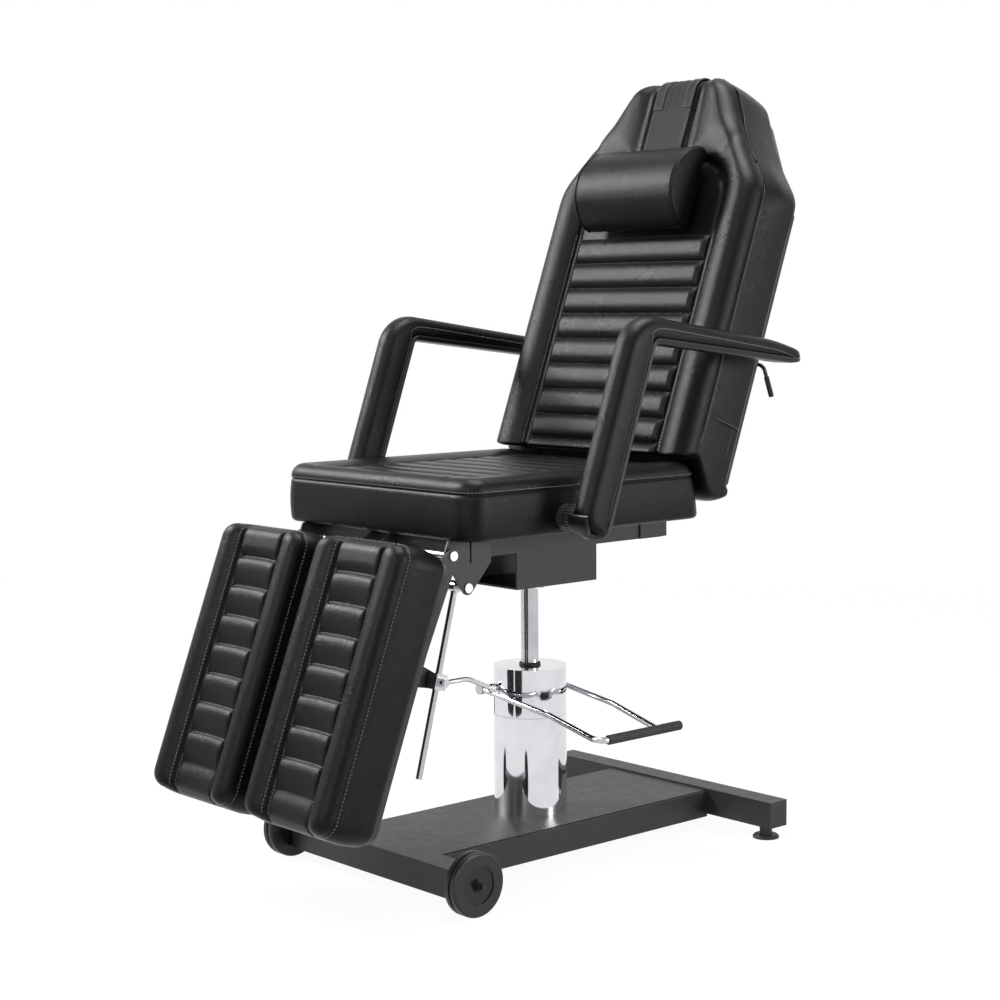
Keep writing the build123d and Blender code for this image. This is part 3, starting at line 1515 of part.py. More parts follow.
def rosette(x):
    """Add a round hub about the armrest's pivot, with fine grooves along its rim."""
    bar_x(*arm_pivot_at, rosette_radius, x)
    with BuildSketch(Plane.YZ.offset(x[0])) as grooves:
        with Locations(arm_pivot_at):
            with PolarLocations(rosette_radius, rosette_tooth_count):
                Circle(rosette_groove_radius)
    extrude(grooves.sketch, amount=x[1] - x[0], mode=Mode.SUBTRACT)


with BuildPart() as armrest_fixed_rosettes:
    fixed_x = (seat_half_width, rosette_split_x - face_gap)
    rosette(fixed_x)
    bar_x(*arm_pivot_at, arm_bolt_radius, fixed_x, Mode.SUBTRACT)
    mirror(about=Plane.YZ)
write(armrest_fixed_rosettes.part, "armrest_fixed_rosettes")

with BuildPart() as armrest_bolts:
    bar_x(*arm_pivot_at, arm_bolt_radius, (cleat_x[0], bolt_head_x[0]))
    bar_x(*arm_pivot_at, arm_bolt_head_radius, bolt_head_x)
    mirror(about=Plane.YZ)
write(armrest_bolts.part, "armrest_bolts")

with BuildPart() as arm_cushion:
    arm_body(arm_band)
    post_run = Vector(0, sin(radians(arm_lean)), cos(radians(arm_lean)))
    post_face = Vector(0, -cos(radians(arm_lean)), sin(radians(arm_lean)))
    upright_edges = edges().filter_by(Axis((0, 0, 0), post_run))
    front_edges = upright_edges.group_by(Axis((0, 0, 0), post_face))[-1]
    fillet(front_edges, radius=arm_edge)
    bar_x(*arm_pivot_at, arm_hub_radius + soft_gap, hub_x, Mode.SUBTRACT)

with BuildPart() as arm_solid:
    arm_body(arm_band)

with BuildPart() as arm_core:
    arm_body(0)
    add(arm_solid.part, mode=Mode.SUBTRACT)
    bar_x(*arm_pivot_at, arm_hub_radius, hub_x)
    rosette((rosette_split_x, arm_inner_x))
    bar_x(*arm_pivot_at, arm_bolt_radius + running_fit, (rosette_split_x, hub_x[1]), Mode.SUBTRACT)
    bar_x(
        *arm_pivot_at,
        arm_bolt_head_radius + soft_gap,
        (arm_inner_x + arm_hub_floor, hub_x[1]),
        Mode.SUBTRACT,
    )
write_pair(arm_core.part, "arm_core")
write_pair(arm_cushion.part, "arm_cushion")
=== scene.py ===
# %% [markdown]
# # A tattoo chair: from measured frame to finished look
# The chair stands on a steel base with a hydraulic pump. Its metal parts come from the measured
# frame and keep their shapes, so this lesson only gives them their finishes. The upholstery is
# another matter: foam under coated fabric has soft ribs, swelling bolsters and sewn seams, and
# each pad is worked out here as a surface and laid over its place in the frame.

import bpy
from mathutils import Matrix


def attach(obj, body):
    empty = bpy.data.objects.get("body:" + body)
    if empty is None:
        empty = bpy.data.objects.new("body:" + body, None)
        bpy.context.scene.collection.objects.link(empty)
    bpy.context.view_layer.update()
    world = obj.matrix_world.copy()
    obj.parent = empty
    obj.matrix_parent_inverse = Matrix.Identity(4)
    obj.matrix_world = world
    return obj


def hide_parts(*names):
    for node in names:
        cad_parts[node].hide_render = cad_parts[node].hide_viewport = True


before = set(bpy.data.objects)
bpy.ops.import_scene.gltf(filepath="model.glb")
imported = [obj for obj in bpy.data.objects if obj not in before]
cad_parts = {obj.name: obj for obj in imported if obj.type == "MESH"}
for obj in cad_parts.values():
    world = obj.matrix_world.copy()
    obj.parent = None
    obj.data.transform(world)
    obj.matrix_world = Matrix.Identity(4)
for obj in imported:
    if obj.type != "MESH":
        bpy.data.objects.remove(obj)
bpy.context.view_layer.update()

from math import cos, radians, sin, tan

import bpy
import numpy as np
from mathutils import Matrix, Vector

print("frame loaded:", len(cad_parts), "nodes")

# %% [markdown]
# ## Camera
# A camera at hip height looks along the chair's front corner, far enough away that the lens
# hardly spreads the verticals. Writing its place and angles down, rather than aiming it at a
# target, keeps the picture's frame exactly where it belongs.

# %% Place the camera
camera_place = Vector((2.9942, -2.6668, 1.1161))
yaw = radians(48.35)
pitch = radians(5.59)
roll = radians(-0.42)

look = Vector((-sin(yaw) * cos(pitch), cos(yaw) * cos(pitch), -sin(pitch)))
level = Vector((cos(yaw), sin(yaw), 0))
upright = level.cross(look)
side = level * cos(roll) + upright * sin(roll)
top = upright * cos(roll) - level * sin(roll)
camera = bpy.data.objects.new("camera", bpy.data.cameras.new("camera"))
camera.data.lens = 72.16
camera.data.clip_end = 60
turn = Matrix((side, top, -look)).transposed().to_4x4()
camera.matrix_world = Matrix.Translation(camera_place) @ turn
bpy.context.scene.collection.objects.link(camera)
bpy.context.scene.camera = camera
print("camera at", tuple(camera_place))

# %% [markdown]
# ## Floor, backdrop and light
# The chair stands on plain white. A lit white floor would need far too much light on the chair,
# so the floor and the world answer the camera, and mirrors, with their own white, while the
# lamps stay at a plain level. Near the chair the floor still mixes in some of its lit surface,
# which keeps the chair's shadow, and further off that share fades out, so no horizon shows.

# %% Helpers for node trees
def wired(tree, node, inputs):
    """A node, new if only its kind is given, with its inputs linked to outputs or given values."""
    node = tree.nodes.new(node) if isinstance(node, str) else node
    for name, value in inputs.items():
        if isinstance(value, bpy.types.NodeSocket):
            tree.links.new(value, node.inputs[name])
        else:
            node.inputs[name].default_value = value
    return node


def new_material(name, skin):
    """A material with a Principled shader whose plain values are given as its skin."""
    material = bpy.data.materials.new(name)
    material.use_nodes = True
    tree = material.node_tree
    tree.nodes.clear()
    shader = wired(tree, "ShaderNodeBsdfPrincipled", skin)
    wired(tree, "ShaderNodeOutputMaterial", {"Surface": shader.outputs["BSDF"]})
    return material, tree, shader


def spread_over(tree, value, source, target):
    """Carry a value's range from (low, high) to another (low, high)."""
    ends = dict(zip(("From Min", "From Max", "To Min", "To Max"), source + target))
    return wired(tree, "ShaderNodeMapRange", {"Value": value, **ends}).outputs["Result"]


def combined(tree, operation, first, second):
    """Two values joined by a math operation."""
    node = tree.nodes.new("ShaderNodeMath")
    node.operation = operation
    return wired(tree, node, {0: first, 1: second}).outputs[0]


def seen_directly(tree):
    """1 for rays from the camera, off a mirror or through glass, and 0 for the light on things."""
    ray = tree.nodes.new("ShaderNodeLightPath").outputs
    mirrored = combined(tree, "MAXIMUM", ray["Is Camera Ray"], ray["Is Glossy Ray"])
    return combined(tree, "MAXIMUM", mirrored, ray["Is Transmission Ray"])


def blended(tree, share, first, second):
    """A mix of two shaders, all of the second where the share is 1."""
    inputs = {0: share, 1: first, 2: second}
    return wired(tree, "ShaderNodeMixShader", inputs).outputs["Shader"]


# %% Make the white floor
floor_half = 7.0
floor_shade = 0.95
shade_reach = (1.4, 4.5)

floor_mesh = bpy.data.meshes.new("floor")
ways = ((-1, -1), (1, -1), (1, 1), (-1, 1))
floor_mesh.from_pydata([(x * floor_half, y * floor_half, 0) for x, y in ways], [], [(0, 1, 2, 3)])
floor = bpy.data.objects.new("floor", floor_mesh)
bpy.context.scene.collection.objects.link(floor)

floor_skin = {"Base Color": (0.9, 0.9, 0.9, 1), "Roughness": 0.9}
floor_finish, tree, shader = new_material("white_floor", floor_skin)
glow = wired(tree, "ShaderNodeEmission", {"Strength": 1})
away = tree.nodes.new("ShaderNodeVectorMath")
away.operation = "LENGTH"
wired(tree, away, {0: tree.nodes.new("ShaderNodeTexCoord").outputs["Object"]})
fade = spread_over(tree, away.outputs["Value"], shade_reach, (floor_shade, 1))
share = combined(tree, "MULTIPLY", seen_directly(tree), fade)
surface = blended(tree, share, shader.outputs["BSDF"], glow.outputs["Emission"])
wired(tree, tree.nodes["Material Output"], {"Surface": surface})
floor_mesh.materials.append(floor_finish)
print("floor", 2 * floor_half, "m square")

# %% Light the world and hang the lamps
world = bpy.data.worlds.new("studio")
bpy.context.scene.world = world
world.use_nodes = True
tree = world.node_tree
tree.nodes.clear()
whites = []
for strength in (0.2, 1):
    white = wired(tree, "ShaderNodeBackground", {"Color": (1, 1, 1, 1), "Strength": strength})
    whites.append(white.outputs["Background"])
wired(tree, "ShaderNodeOutputWorld", {"Surface": blended(tree, seen_directly(tree), *whites)})

lamps = {
    # place, height of the target over the floor's middle, size of the lamp, watts
    "key": ((-2.7, -1.9, 3.0), 0.9, 1.3, 300),
    "front": ((1.6, -3.9, 2.5), 0.8, 0.9, 90),
    "side": ((3.9, 1.8, 1.3), 0.8, 1.1, 120),
    "top": ((0.3, 0.4, 3.7), 0.6, 1.4, 150),
}
for name, (place, target, size, power) in lamps.items():
    lamp = bpy.data.lights.new(name, "AREA")
    lamp.size = size
    lamp.energy = power
    stand = bpy.data.objects.new(name, lamp)
    aim = Vector((0, 0, target)) - Vector(place)
    turn = aim.to_track_quat("-Z", "Y").to_matrix().to_4x4()
    stand.matrix_world = Matrix.Translation(Vector(place)) @ turn
    bpy.context.scene.collection.objects.link(stand)
bpy.context.scene.view_settings.view_transform = "Standard"
print("lamps", list(lamps))

# %% [markdown]
# ## Finishes
# Almost everything is black, so the finishes differ by how they take the light: coated fabric
# with a fine grain and a soft broad highlight, powder coat with a tiny orange-peel, gloss
# plastic, matt rubber, and mirror-bright chrome. Each is built from noise on Object coordinates,
# which are in metres here, so a scale of 1000 gives a pattern about a millimetre across.

# %% Small building blocks for patterns
def noise(tree, scale, detail, roughness=0.5, stretch=(1, 1, 1)):
    """Noise on Object coordinates, stretched along the axes."""
    place = tree.nodes.new("ShaderNodeTexCoord").outputs["Object"]
    spread = wired(tree, "ShaderNodeMapping", {"Vector": place, "Scale": stretch})
    inputs = {"Scale": scale, "Detail": detail, "Roughness": roughness}
    inputs["Vector"] = spread.outputs["Vector"]
    return wired(tree, "ShaderNodeTexNoise", inputs).outputs["Fac"]


def cells(tree, scale, valley):
    """Cells on Object coordinates: 0 on their edges, rising to 1 over a valley's width."""
    texture = tree.nodes.new("ShaderNodeTexVoronoi")
    texture.feature = "DISTANCE_TO_EDGE"
    place = tree.nodes.new("ShaderNodeTexCoord").outputs["Object"]
    wired(tree, texture, {"Vector": place, "Scale": scale})
    return spread_over(tree, texture.outputs["Distance"], (0, valley), (0, 1))


def dress(tree, shader, dark, light, tone, gloss, layers):
    """Give a shader its colour, from dark to light as the tone rises, its roughness, and its bumps,
    stacked from layers of (pattern, depth in metres, strength)."""
    mix = tree.nodes.new("ShaderNodeMix")
    mix.data_type = "RGBA"
    wired(tree, mix, {"Factor": tone, "A": (*dark, 1), "B": (*light, 1)})
    inputs = {"Base Color": mix.outputs["Result"], "Roughness": gloss}
    for height, depth, strength in layers:
        under = {"Normal": inputs["Normal"]} if "Normal" in inputs else {}
        relief = {"Height": height, "Distance": depth, "Strength": strength}
        bump = wired(tree, "ShaderNodeBump", {**relief, **under})
        inputs["Normal"] = bump.outputs["Normal"]
    wired(tree, shader, inputs)


# %% Coated fabric with a leather grain
def coated_fabric(name, dark, light, rough, grain):
    """Black coated fabric: cells of grain, slow creases, and a gloss that varies over it."""
    material, tree, shader = new_material(name, {"Specular IOR Level": 0.11})
    tone = spread_over(tree, noise(tree, 9, 4), (0.35, 0.65), (0, 1))
    gloss = spread_over(tree, noise(tree, 17, 6, 0.65), (0.3, 0.7), rough)
    creases = (noise(tree, 26, 5, 0.6), 0.004, 0.07)
    valleys = (cells(tree, 620, 0.22), 0.0003, grain)
    fibres = (noise(tree, 1500, 3), 0.0002, grain)
    dress(tree, shader, dark, light, tone, gloss, (creases, valleys, fibres))
    return material


fabrics = {
    # dark colour, light colour, roughness, strength of the grain
    "upholstery_fabric": ((0.0018, 0.0018, 0.0020), (0.0036, 0.0036, 0.0039), (0.25, 0.33), 0.4),
    "strap_fabric": ((0.003, 0.003, 0.0033), (0.006, 0.006, 0.0064), (0.36, 0.48), 0.7),
    "piping_fabric": ((0.002, 0.002, 0.0022), (0.004, 0.004, 0.0044), (0.3, 0.42), 0.3),
}
finishes = {name: coated_fabric(name, *look) for name, look in fabrics.items()}
upholstery = finishes["upholstery_fabric"]
print("fabrics", list(fabrics))

# %% Thread
def thread(name, colour):
    """Twisted polyester thread: fine slanting strands over a plain colour."""
    material, tree, shader = new_material(name, {"Sheen Weight": 0.2})
    strands = noise(tree, 2600, 2, stretch=(1, 1, 0.4))
    tone = spread_over(tree, strands, (0.3, 0.7), (0, 1))
    gloss = spread_over(tree, strands, (0.3, 0.7), (0.45, 0.7))
    shade = tuple(channel / 2 for channel in colour)
    dress(tree, shader, shade, colour, tone, gloss, ((strands, 0.0002, 0.5),))
    return material


pale_thread = thread("grey_thread", (0.13, 0.13, 0.135))
print("thread", pale_thread.name)

# %% Powder coat, plastics and rubber
def painted(name, dark, light, rough, peel_scale, peel_depth, strength):
    """A sprayed or moulded black skin: slow tone, fine peel, and a little dust on its gloss."""
    material, tree, shader = new_material(name, {"Specular IOR Level": 0.3})
    tone = spread_over(tree, noise(tree, 7, 5, 0.6), (0.3, 0.7), (0, 1))
    gloss = spread_over(tree, noise(tree, 45, 8, 0.7), (0.3, 0.7), rough)
    peel = (noise(tree, peel_scale, 3), peel_depth, strength)
    dress(tree, shader, dark, light, tone, gloss, (peel,))
    return material


paints = {
    # dark colour, light colour, roughness, and the scale, depth and strength of the peel
    "powder_coat": (
        (0.012, 0.012, 0.0125), (0.016, 0.016, 0.0165), (0.38, 0.50), 950, 0.00012, 0.5),
    "gloss_paint": ((0.008, 0.008, 0.009), (0.012, 0.012, 0.013), (0.16, 0.26), 500, 0.00005, 0.3),
    "matt_rubber": ((0.010, 0.010, 0.010), (0.018, 0.018, 0.018), (0.55, 0.75), 700, 0.0002, 0.5),
    "satin_plastic": (
        (0.012, 0.012, 0.013), (0.019, 0.019, 0.020), (0.30, 0.44), 1300, 0.00006, 0.5),
    "moulded_core": (
        (0.003, 0.003, 0.0033), (0.005, 0.005, 0.0054), (0.30, 0.42), 900, 0.0002, 0.5),
    "foot_plastic": ((0.014, 0.014, 0.014), (0.022, 0.022, 0.022), (0.42, 0.6), 900, 0.0001, 0.5),
    "wheel_plastic": (
        (0.006, 0.006, 0.007), (0.010, 0.010, 0.011), (0.12, 0.24), 300, 0.00006, 0.3),
    "tyre_rubber": ((0.007, 0.007, 0.007), (0.012, 0.012, 0.012), (0.30, 0.5), 600, 0.0001, 0.4),
}
finishes.update({name: painted(name, *look) for name, look in paints.items()})
print("painted", list(paints))

# %% Chrome and zinc-plated steel
def plated(name, dark, light, rough, stretch, scale, depth):
    """Bright metal: faint smudges in its gloss, and the fine lines or waves of its polishing."""
    material, tree, shader = new_material(name, {"Metallic": 1})
    smudge = noise(tree, 14, 6, 0.6)
    tone = spread_over(tree, smudge, (0.3, 0.7), (0, 1))
    gloss = spread_over(tree, smudge, (0.35, 0.75), rough)
    lines = (noise(tree, scale, 4, stretch=stretch), depth, 0.3)
    dress(tree, shader, dark, light, tone, gloss, (lines,))
    return material


metals = {
    # dark colour, light colour, roughness, and the stretch, scale and depth of the lines
    "bright_chrome": (
        (0.62, 0.63, 0.65), (0.74, 0.75, 0.77), (0.03, 0.09), (1, 1, 0.2), 60, 0.0001),
    "rod_chrome": (
        (0.42, 0.43, 0.45), (0.56, 0.57, 0.59), (0.08, 0.18), (1, 1, 0.1), 300, 0.00008),
    "clamp_chrome": (
        (0.50, 0.51, 0.53), (0.64, 0.65, 0.67), (0.09, 0.2), (1, 1, 1), 160, 0.0001),
    "zinc_plate": ((0.42, 0.42, 0.43), (0.58, 0.58, 0.60), (0.26, 0.42), (1, 1, 1), 420, 0.0001),
}
finishes.update({name: plated(name, *look) for name, look in metals.items()})
print("plated", list(metals))

# %% Backing cloth on the pads' boards
def backing_cloth(name):
    """Thin black non-woven cloth stapled over the boards: a mat of short fibres."""
    material, tree, shader = new_material(name, {"Sheen Weight": 0.15})
    fibres = noise(tree, 1100, 6, 0.7)
    gloss = spread_over(tree, noise(tree, 30, 4), (0.3, 0.7), (0.8, 0.95))
    mat = ((fibres, 0.0004, 0.6),)
    dress(tree, shader, (0.006, 0.006, 0.006), (0.03, 0.03, 0.031), fibres, gloss, mat)
    return material


finishes["backing_cloth"] = backing_cloth("backing_cloth")

# %% Give every metal, plastic and rubber node its finish
slot_finishes = {
    "frame_paint": "powder_coat",
    "black_steel": "gloss_paint",
    "pump_chrome": "bright_chrome",
    "rod_chrome": "rod_chrome",
    "zinc_steel": "zinc_plate",
    "clamp_chrome": "clamp_chrome",
    "spring_paint": "gloss_paint",
    "sleeve_rubber": "matt_rubber",
    "foot_plastic": "foot_plastic",
    "cap_plastic": "satin_plastic",
    "arm_core_plastic": "moulded_core",
    "wheel_plastic": "wheel_plastic",
    "tyre": "tyre_rubber",
    "plywood": "backing_cloth",
    "upholstery": "upholstery_fabric",
}
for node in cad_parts.values():
    for holder in node.material_slots:
        slot_name = holder.material.name.split(".")[0]
        holder.material = finishes[slot_finishes[slot_name]]
print("finishes given to", len(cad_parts), "nodes")

# %% [markdown]
# ## Pads as surfaces
# A pad starts as the skin of a box: six grids of points whose shared edges are merged. A form
# then moves every point at once. First the outline's corners and the front edges are rounded,
# next a height field presses the seams in and raises ribs and bolsters, and last the sides pull
# in or swell. Working on whole arrays keeps this fast, and putting the grid lines where the
# seams run keeps the creases crisp without a huge mesh.

# %% Grid helpers
def stations(low, high, step, edge, seams, reach=(0.9, 2.1, 4.0)):
    """Grid places along one side of a pad, in mm: even steps, an arc's steps at each end, and a fan
    of close steps on both sides of every seam."""
    inner_low = low + edge
    inner_high = high - edge
    turn = edge * np.tan(np.linspace(0, np.pi / 4, 7))
    count = max(2, int(round((inner_high - inner_low) / step)) + 1)
    core = np.linspace(inner_low, inner_high, count)
    fan = np.array([-away for away in reach] + [0.0] + list(reach))
    near = (np.asarray(seams, float)[:, None] + fan).ravel()
    near = near[(near > inner_low) & (near < inner_high)]
    clear = np.abs(core[:, None] - near).min(axis=1) > step / 2
    clear[0] = clear[-1] = True
    places = np.concatenate((inner_low - turn, core[clear], near, inner_high + turn))
    places = np.unique(np.round(places, 3))
    return places[np.concatenate(([True], np.diff(places) > 0.3))]


def box_skin(xs, ss, ts):
    """The skin of a box as grid points and quads: each face is a grid of two of the three lists of
    places, and points that two faces share are merged. Quads run anticlockwise from outside."""
    counts = np.array([len(xs), len(ss), len(ts)])
    strides = np.array([counts[1] * counts[2], counts[2], 1])
    quads = []
    for axis in range(3):
        first, second = (axis + 1) % 3, (axis + 2) % 3
        i, j = np.meshgrid(np.arange(counts[first]), np.arange(counts[second]), indexing="ij")
        for end in (0, counts[axis] - 1):
            keys = i * strides[first] + j * strides[second] + end * strides[axis]
            corners = (keys[:-1, :-1], keys[1:, :-1], keys[1:, 1:], keys[:-1, 1:])
            corners = np.stack(corners, -1).reshape(-1, 4)
            quads.append(corners if end else corners[:, ::-1])
    used, index = np.unique(np.concatenate(quads), return_inverse=True)
    x = xs[used // strides[0]]
    s = ss[(used // strides[1]) % counts[1]]
    t = ts[used % counts[2]]
    return np.stack((x, s, t), -1), index.reshape(-1, 4).tolist()


# %% Shapes of seams, ribs and bolsters
def smooth(value, low, high):
    """0 below low, 1 above high, and between them a share that starts and ends level."""
    share = np.clip((value - low) / (high - low), 0, 1)
    return share * share * (3 - 2 * share)


def swell(share):
    """A bolster's side as its share runs from 0 at the foot to 1 at the crest: a mean of a quarter
    circle and a quarter sine, steep at the foot and level at the crest."""
    share = np.clip(share, 0, 1)
    return (np.sqrt(1 - (1 - share) ** 2) + np.sin(share * np.pi / 2)) / 2


def notch(away, width):
    """A seam's groove: 1 on the seam, falling off on both sides as a bell curve of that width."""
    return np.exp(-((away / width) ** 2))


def rib_height(places, start, pitch, steep):
    """The height share of a row of sewn ribs: 1 less the distance from a rib's middle, as a share of
    half its pitch, raised to a power. It is 0 on each seam."""
    phase = ((places - start) / pitch) % 1
    return 1 - np.abs(2 * phase - 1) ** steep


def seam_gap(places, start, pitch):
    """How far each place is from the nearest of a row of seams."""
    return (places - start + pitch / 2) % pitch - pitch / 2


def panel_away(beyond_x, beyond_s, corner):
    """Distance outside a sunken panel with round corners, and below 0 inside it, from how far a
    place is beyond the panel's side and beyond its end."""
    past_x = beyond_x + corner
    past_s = beyond_s + corner
    outside = np.hypot(np.clip(past_x, 0, None), np.clip(past_s, 0, None))
    return outside + np.minimum(np.maximum(past_x, past_s), 0) - corner


def raised(t, low, high, height):
    """A pad's depth stretched from its rear wall, so that its front moves out by a height."""
    return low + (t - low) * (1 + height / (high - low))


# %% Rounding a box
def rounded(points, low, high, corner, front_edge, rear_edge):
    """Round a box's outline corners and its front and rear edges. In a corner, squares about the
    corner's centre become circles of the same size; across an edge the same is done in section.
    Returns the points, the outward direction in the outline, and how near the wall each one is."""
    x, s, t = points.T
    mid = (low + high) / 2
    half = (high - low) / 2
    past_x = np.clip(np.abs(x - mid[0]) - (half[0] - corner), 0, None)
    past_s = np.clip(np.abs(s - mid[1]) - (half[1] - corner), 0, None)
    ring = np.maximum(past_x, past_s)
    edge = np.where(t > mid[2], front_edge, rear_edge)
    a = np.clip(ring - (corner - edge), 0, None)
    b = np.clip(np.abs(t - mid[2]) - (half[2] - edge), 0, None)
    away = np.hypot(a, b)
    squeeze = np.where(away > 0, np.maximum(a, b) / np.maximum(away, 1e-9), 1)
    new_ring = ring - a + a * squeeze
    reach = np.hypot(past_x, past_s)
    scale = np.where(reach > 0, new_ring / np.maximum(reach, 1e-9), 0)
    sign_x = np.sign(x - mid[0])
    sign_s = np.sign(s - mid[1])
    new_x = np.where(past_x > 0, mid[0] + sign_x * (half[0] - corner + past_x * scale), x)
    new_s = np.where(past_s > 0, mid[1] + sign_s * (half[1] - corner + past_s * scale), s)
    new_t = np.where(b > 0, mid[2] + np.sign(t - mid[2]) * (half[2] - edge + b * squeeze), t)
    outward = np.stack((sign_x * past_x, sign_s * past_s)) / np.maximum(reach, 1e-9)
    wall = smooth(new_ring, corner - edge / 2, corner)
    return (new_x, new_s, new_t), outward, wall


# %% Placing pads and making pieces
MM = 0.001
chair_axes = np.array(((0, 0, 0), (1, 0, 0), (0, 1, 0), (0, 0, 1)), float)


def leaning(y, z, lean):
    """A leaning pad's axes: a point of its front plane, then its across, up and out directions."""
    tilt = radians(lean)
    up = (0, sin(tilt), cos(tilt))
    return np.array(((0, y, z), (1, 0, 0), up, (0, -cos(tilt), sin(tilt))), float)


def add_piece(name, axes, points, faces, finish, rides, slot="upholstery", replaces=None, fill=None):
    """A smooth-shaded piece from points in mm along its axes. It rides one node and may replace a
    node.
    Its slot is not used. Its fill, from 0 for slack to 1 for tight, is not used."""
    mesh = bpy.data.meshes.new(name)
    mesh.from_pydata(((axes[0] + points @ axes[1:]) * MM).tolist(), [], faces)
    mesh.polygons.foreach_set("use_smooth", np.ones(len(mesh.polygons), bool))
    mesh.materials.append(finish)
    mesh.update()
    piece = bpy.data.objects.new(name, mesh)
    bpy.context.scene.collection.objects.link(piece)
    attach(piece, rides)
    if replaces:
        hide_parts(replaces)
    print(name, len(points), "points")


def add_both(name, axes, points, faces, finish, rides, slot="upholstery", replaces="", fill=None):
    """A piece on the left and its mirror image on the right, whose faces are reversed to keep them
    pointing outwards."""
    for side, word in ((1, "_left"), (-1, "_right")):
        turned = points * np.array((side, 1, 1))
        turned_faces = [face[::side] for face in faces]
        replaced = replaces and replaces + word
        add_piece(name + word, axes, turned, turned_faces, finish, rides + word, slot, replaced, fill)


# %% Lines on a pad
def unit(vectors):
    """Vectors of length 1 that point the same way."""
    return vectors / np.maximum(np.linalg.norm(vectors, axis=-1, keepdims=True), 1e-9)


def steps_along(line, closed=False):
    """The way along a line at each of its points, from the points before and after it."""
    if closed:
        return np.roll(line, -1, axis=0) - np.roll(line, 1, axis=0)
    return np.gradient(line, axis=0)


def arc_lengths(line):
    """How far along a line each of its points lies."""
    return np.concatenate(([0], np.cumsum(np.linalg.norm(np.diff(line, axis=0), axis=1))))


def read_at(places, lengths, values):
    """Each column of an array given along a line, read at other lengths along it."""
    return np.stack([np.interp(places, lengths, column) for column in values.T], -1)


def surface_line(form, points, beside, facing=None, lift=0.0, closed=False):
    """Carry a line of box points onto a pad, in mm, with the pad's outward direction along it: the
    cross product of a step along the line and a small step beside it, turned to the facing side,
    which is away from the line's own middle unless it is given."""
    line = form(points)
    facing = line - line.mean(axis=0) if facing is None else np.array(facing, float)
    step = form(points + np.array(beside, float)) - line
    outward = unit(np.cross(steps_along(line, closed), step))
    outward = outward * np.where((outward * facing).sum(axis=1) < 0, -1, 1)[:, None]
    return line + outward * lift, outward


def straight_line(form, start, end, beside, facing=(0, 0, 1), count=160):
    """A straight run of box points carried onto a pad, facing out of its front."""
    return surface_line(form, np.linspace(start, end, count), beside, facing)


def around(low, high, out, count=150):
    """Points once round a box's outline at one distance out, from its lower left corner."""
    turns = ((low, low), (high, low), (high, high), (low, high), (low, low))
    corners = np.array([(x[0], s[1], out) for x, s in turns])
    sides = [np.linspace(*corners[k:k + 2], count, endpoint=False) for k in range(4)]
    return np.concatenate(sides)


# %% Stitches and piping
stitch_length = 5.0
stitch_pitch = 7.0
stitch_radius = 0.65
stitch_rings = ((-0.5, -0.7, 0.6), (-0.25, 0.35, 1), (0.25, 0.35, 1), (0.5, -0.7, 0.6))


def quads_round(rows, sides, closed=False):
    """Quads between rings of points, with a flat face at each end unless the rows are closed."""
    ends = rows if closed else rows - 1
    i, k = np.meshgrid(np.arange(ends), np.arange(sides), indexing="ij")
    after = (i + 1) % rows
    turn = (k + 1) % sides
    corners = (i * sides + k, i * sides + turn, after * sides + turn, after * sides + k)
    faces = np.stack(corners, -1).reshape(-1, 4).tolist()
    if not closed:
        faces.append(list(range(sides))[::-1])
        faces.append(list(range((rows - 1) * sides, rows * sides)))
    return faces


def stitch_mesh(lines):
    """Stitches a pitch apart along (line, outward) pairs, in mm. Each is a short four-sided bar of
    four rings, whose rows give a place along it as a share of its length, a height over the pad
    and a share of its radius, so that its ends dip in."""
    points = []
    for line, outward in lines:
        lengths = arc_lengths(line)
        count = max(2, int(lengths[-1] / stitch_pitch))
        middles = (np.arange(count) + 0.5) * lengths[-1] / count
        up = unit(read_at(middles, lengths, outward))
        rings = []
        for share, height, width in stitch_rings:
            place = middles + share * stitch_length
            before = middles + (share * stitch_length - 0.5)
            after = middles + (share * stitch_length + 0.5)
            along = unit(read_at(after, lengths, line) - read_at(before, lengths, line))
            across = np.cross(along, up)
            spokes = np.stack((across, up, -across, -up), 1) * (stitch_radius * width)
            rings.append((read_at(place, lengths, line) + up * height)[:, None] + spokes)
        points.append(np.stack(rings, 1).reshape(-1, 3))
    points = np.concatenate(points)
    starts = np.arange(0, len(points), 16)[:, None, None]
    return points, (starts + np.array(quads_round(4, 4))).reshape(-1, 4).tolist()


def tube_mesh(line, outward, radius, closed=False, sides=8):
    """A round cord along a line: rings of points spanned by its outward direction and the direction
    square to it, joined by quads."""
    along = unit(steps_along(line, closed))
    across = unit(np.cross(along, outward))
    up = np.cross(across, along)
    angles = (2 * np.pi * np.arange(sides) / sides)[:, None]
    spokes = np.cos(angles) * across[:, None] + np.sin(angles) * up[:, None]
    points = (line[:, None] + radius * spokes).reshape(-1, 3)
    return points, quads_round(len(line), sides, closed)


# %% [markdown]
# ## Seat cushion
# The seat is a slab of foam under one sewn cover. Its middle is a sunken panel of nine ribs, a
# bolster swells up at each side and along the front, and the rear wall leans to meet the
# backrest. It could be sculpted by hand, but a height field says exactly where each seam runs,
# and the stitches can then be laid on the same surface.

# %% Seat form
seat_low = np.array((-286.0, -331.0, 687.0))
seat_high = np.array((286.0, 293.0, 802.0))
seat_panel = 192.0
seat_panel_front = -277.0
seat_panel_rear = 262.0
seat_corner = 16.0
seat_sink = 13.0
seat_rib = 6.5
seat_rib_pitch = 60.8
seat_seam_z = 772.0
seat_lean = 23.0


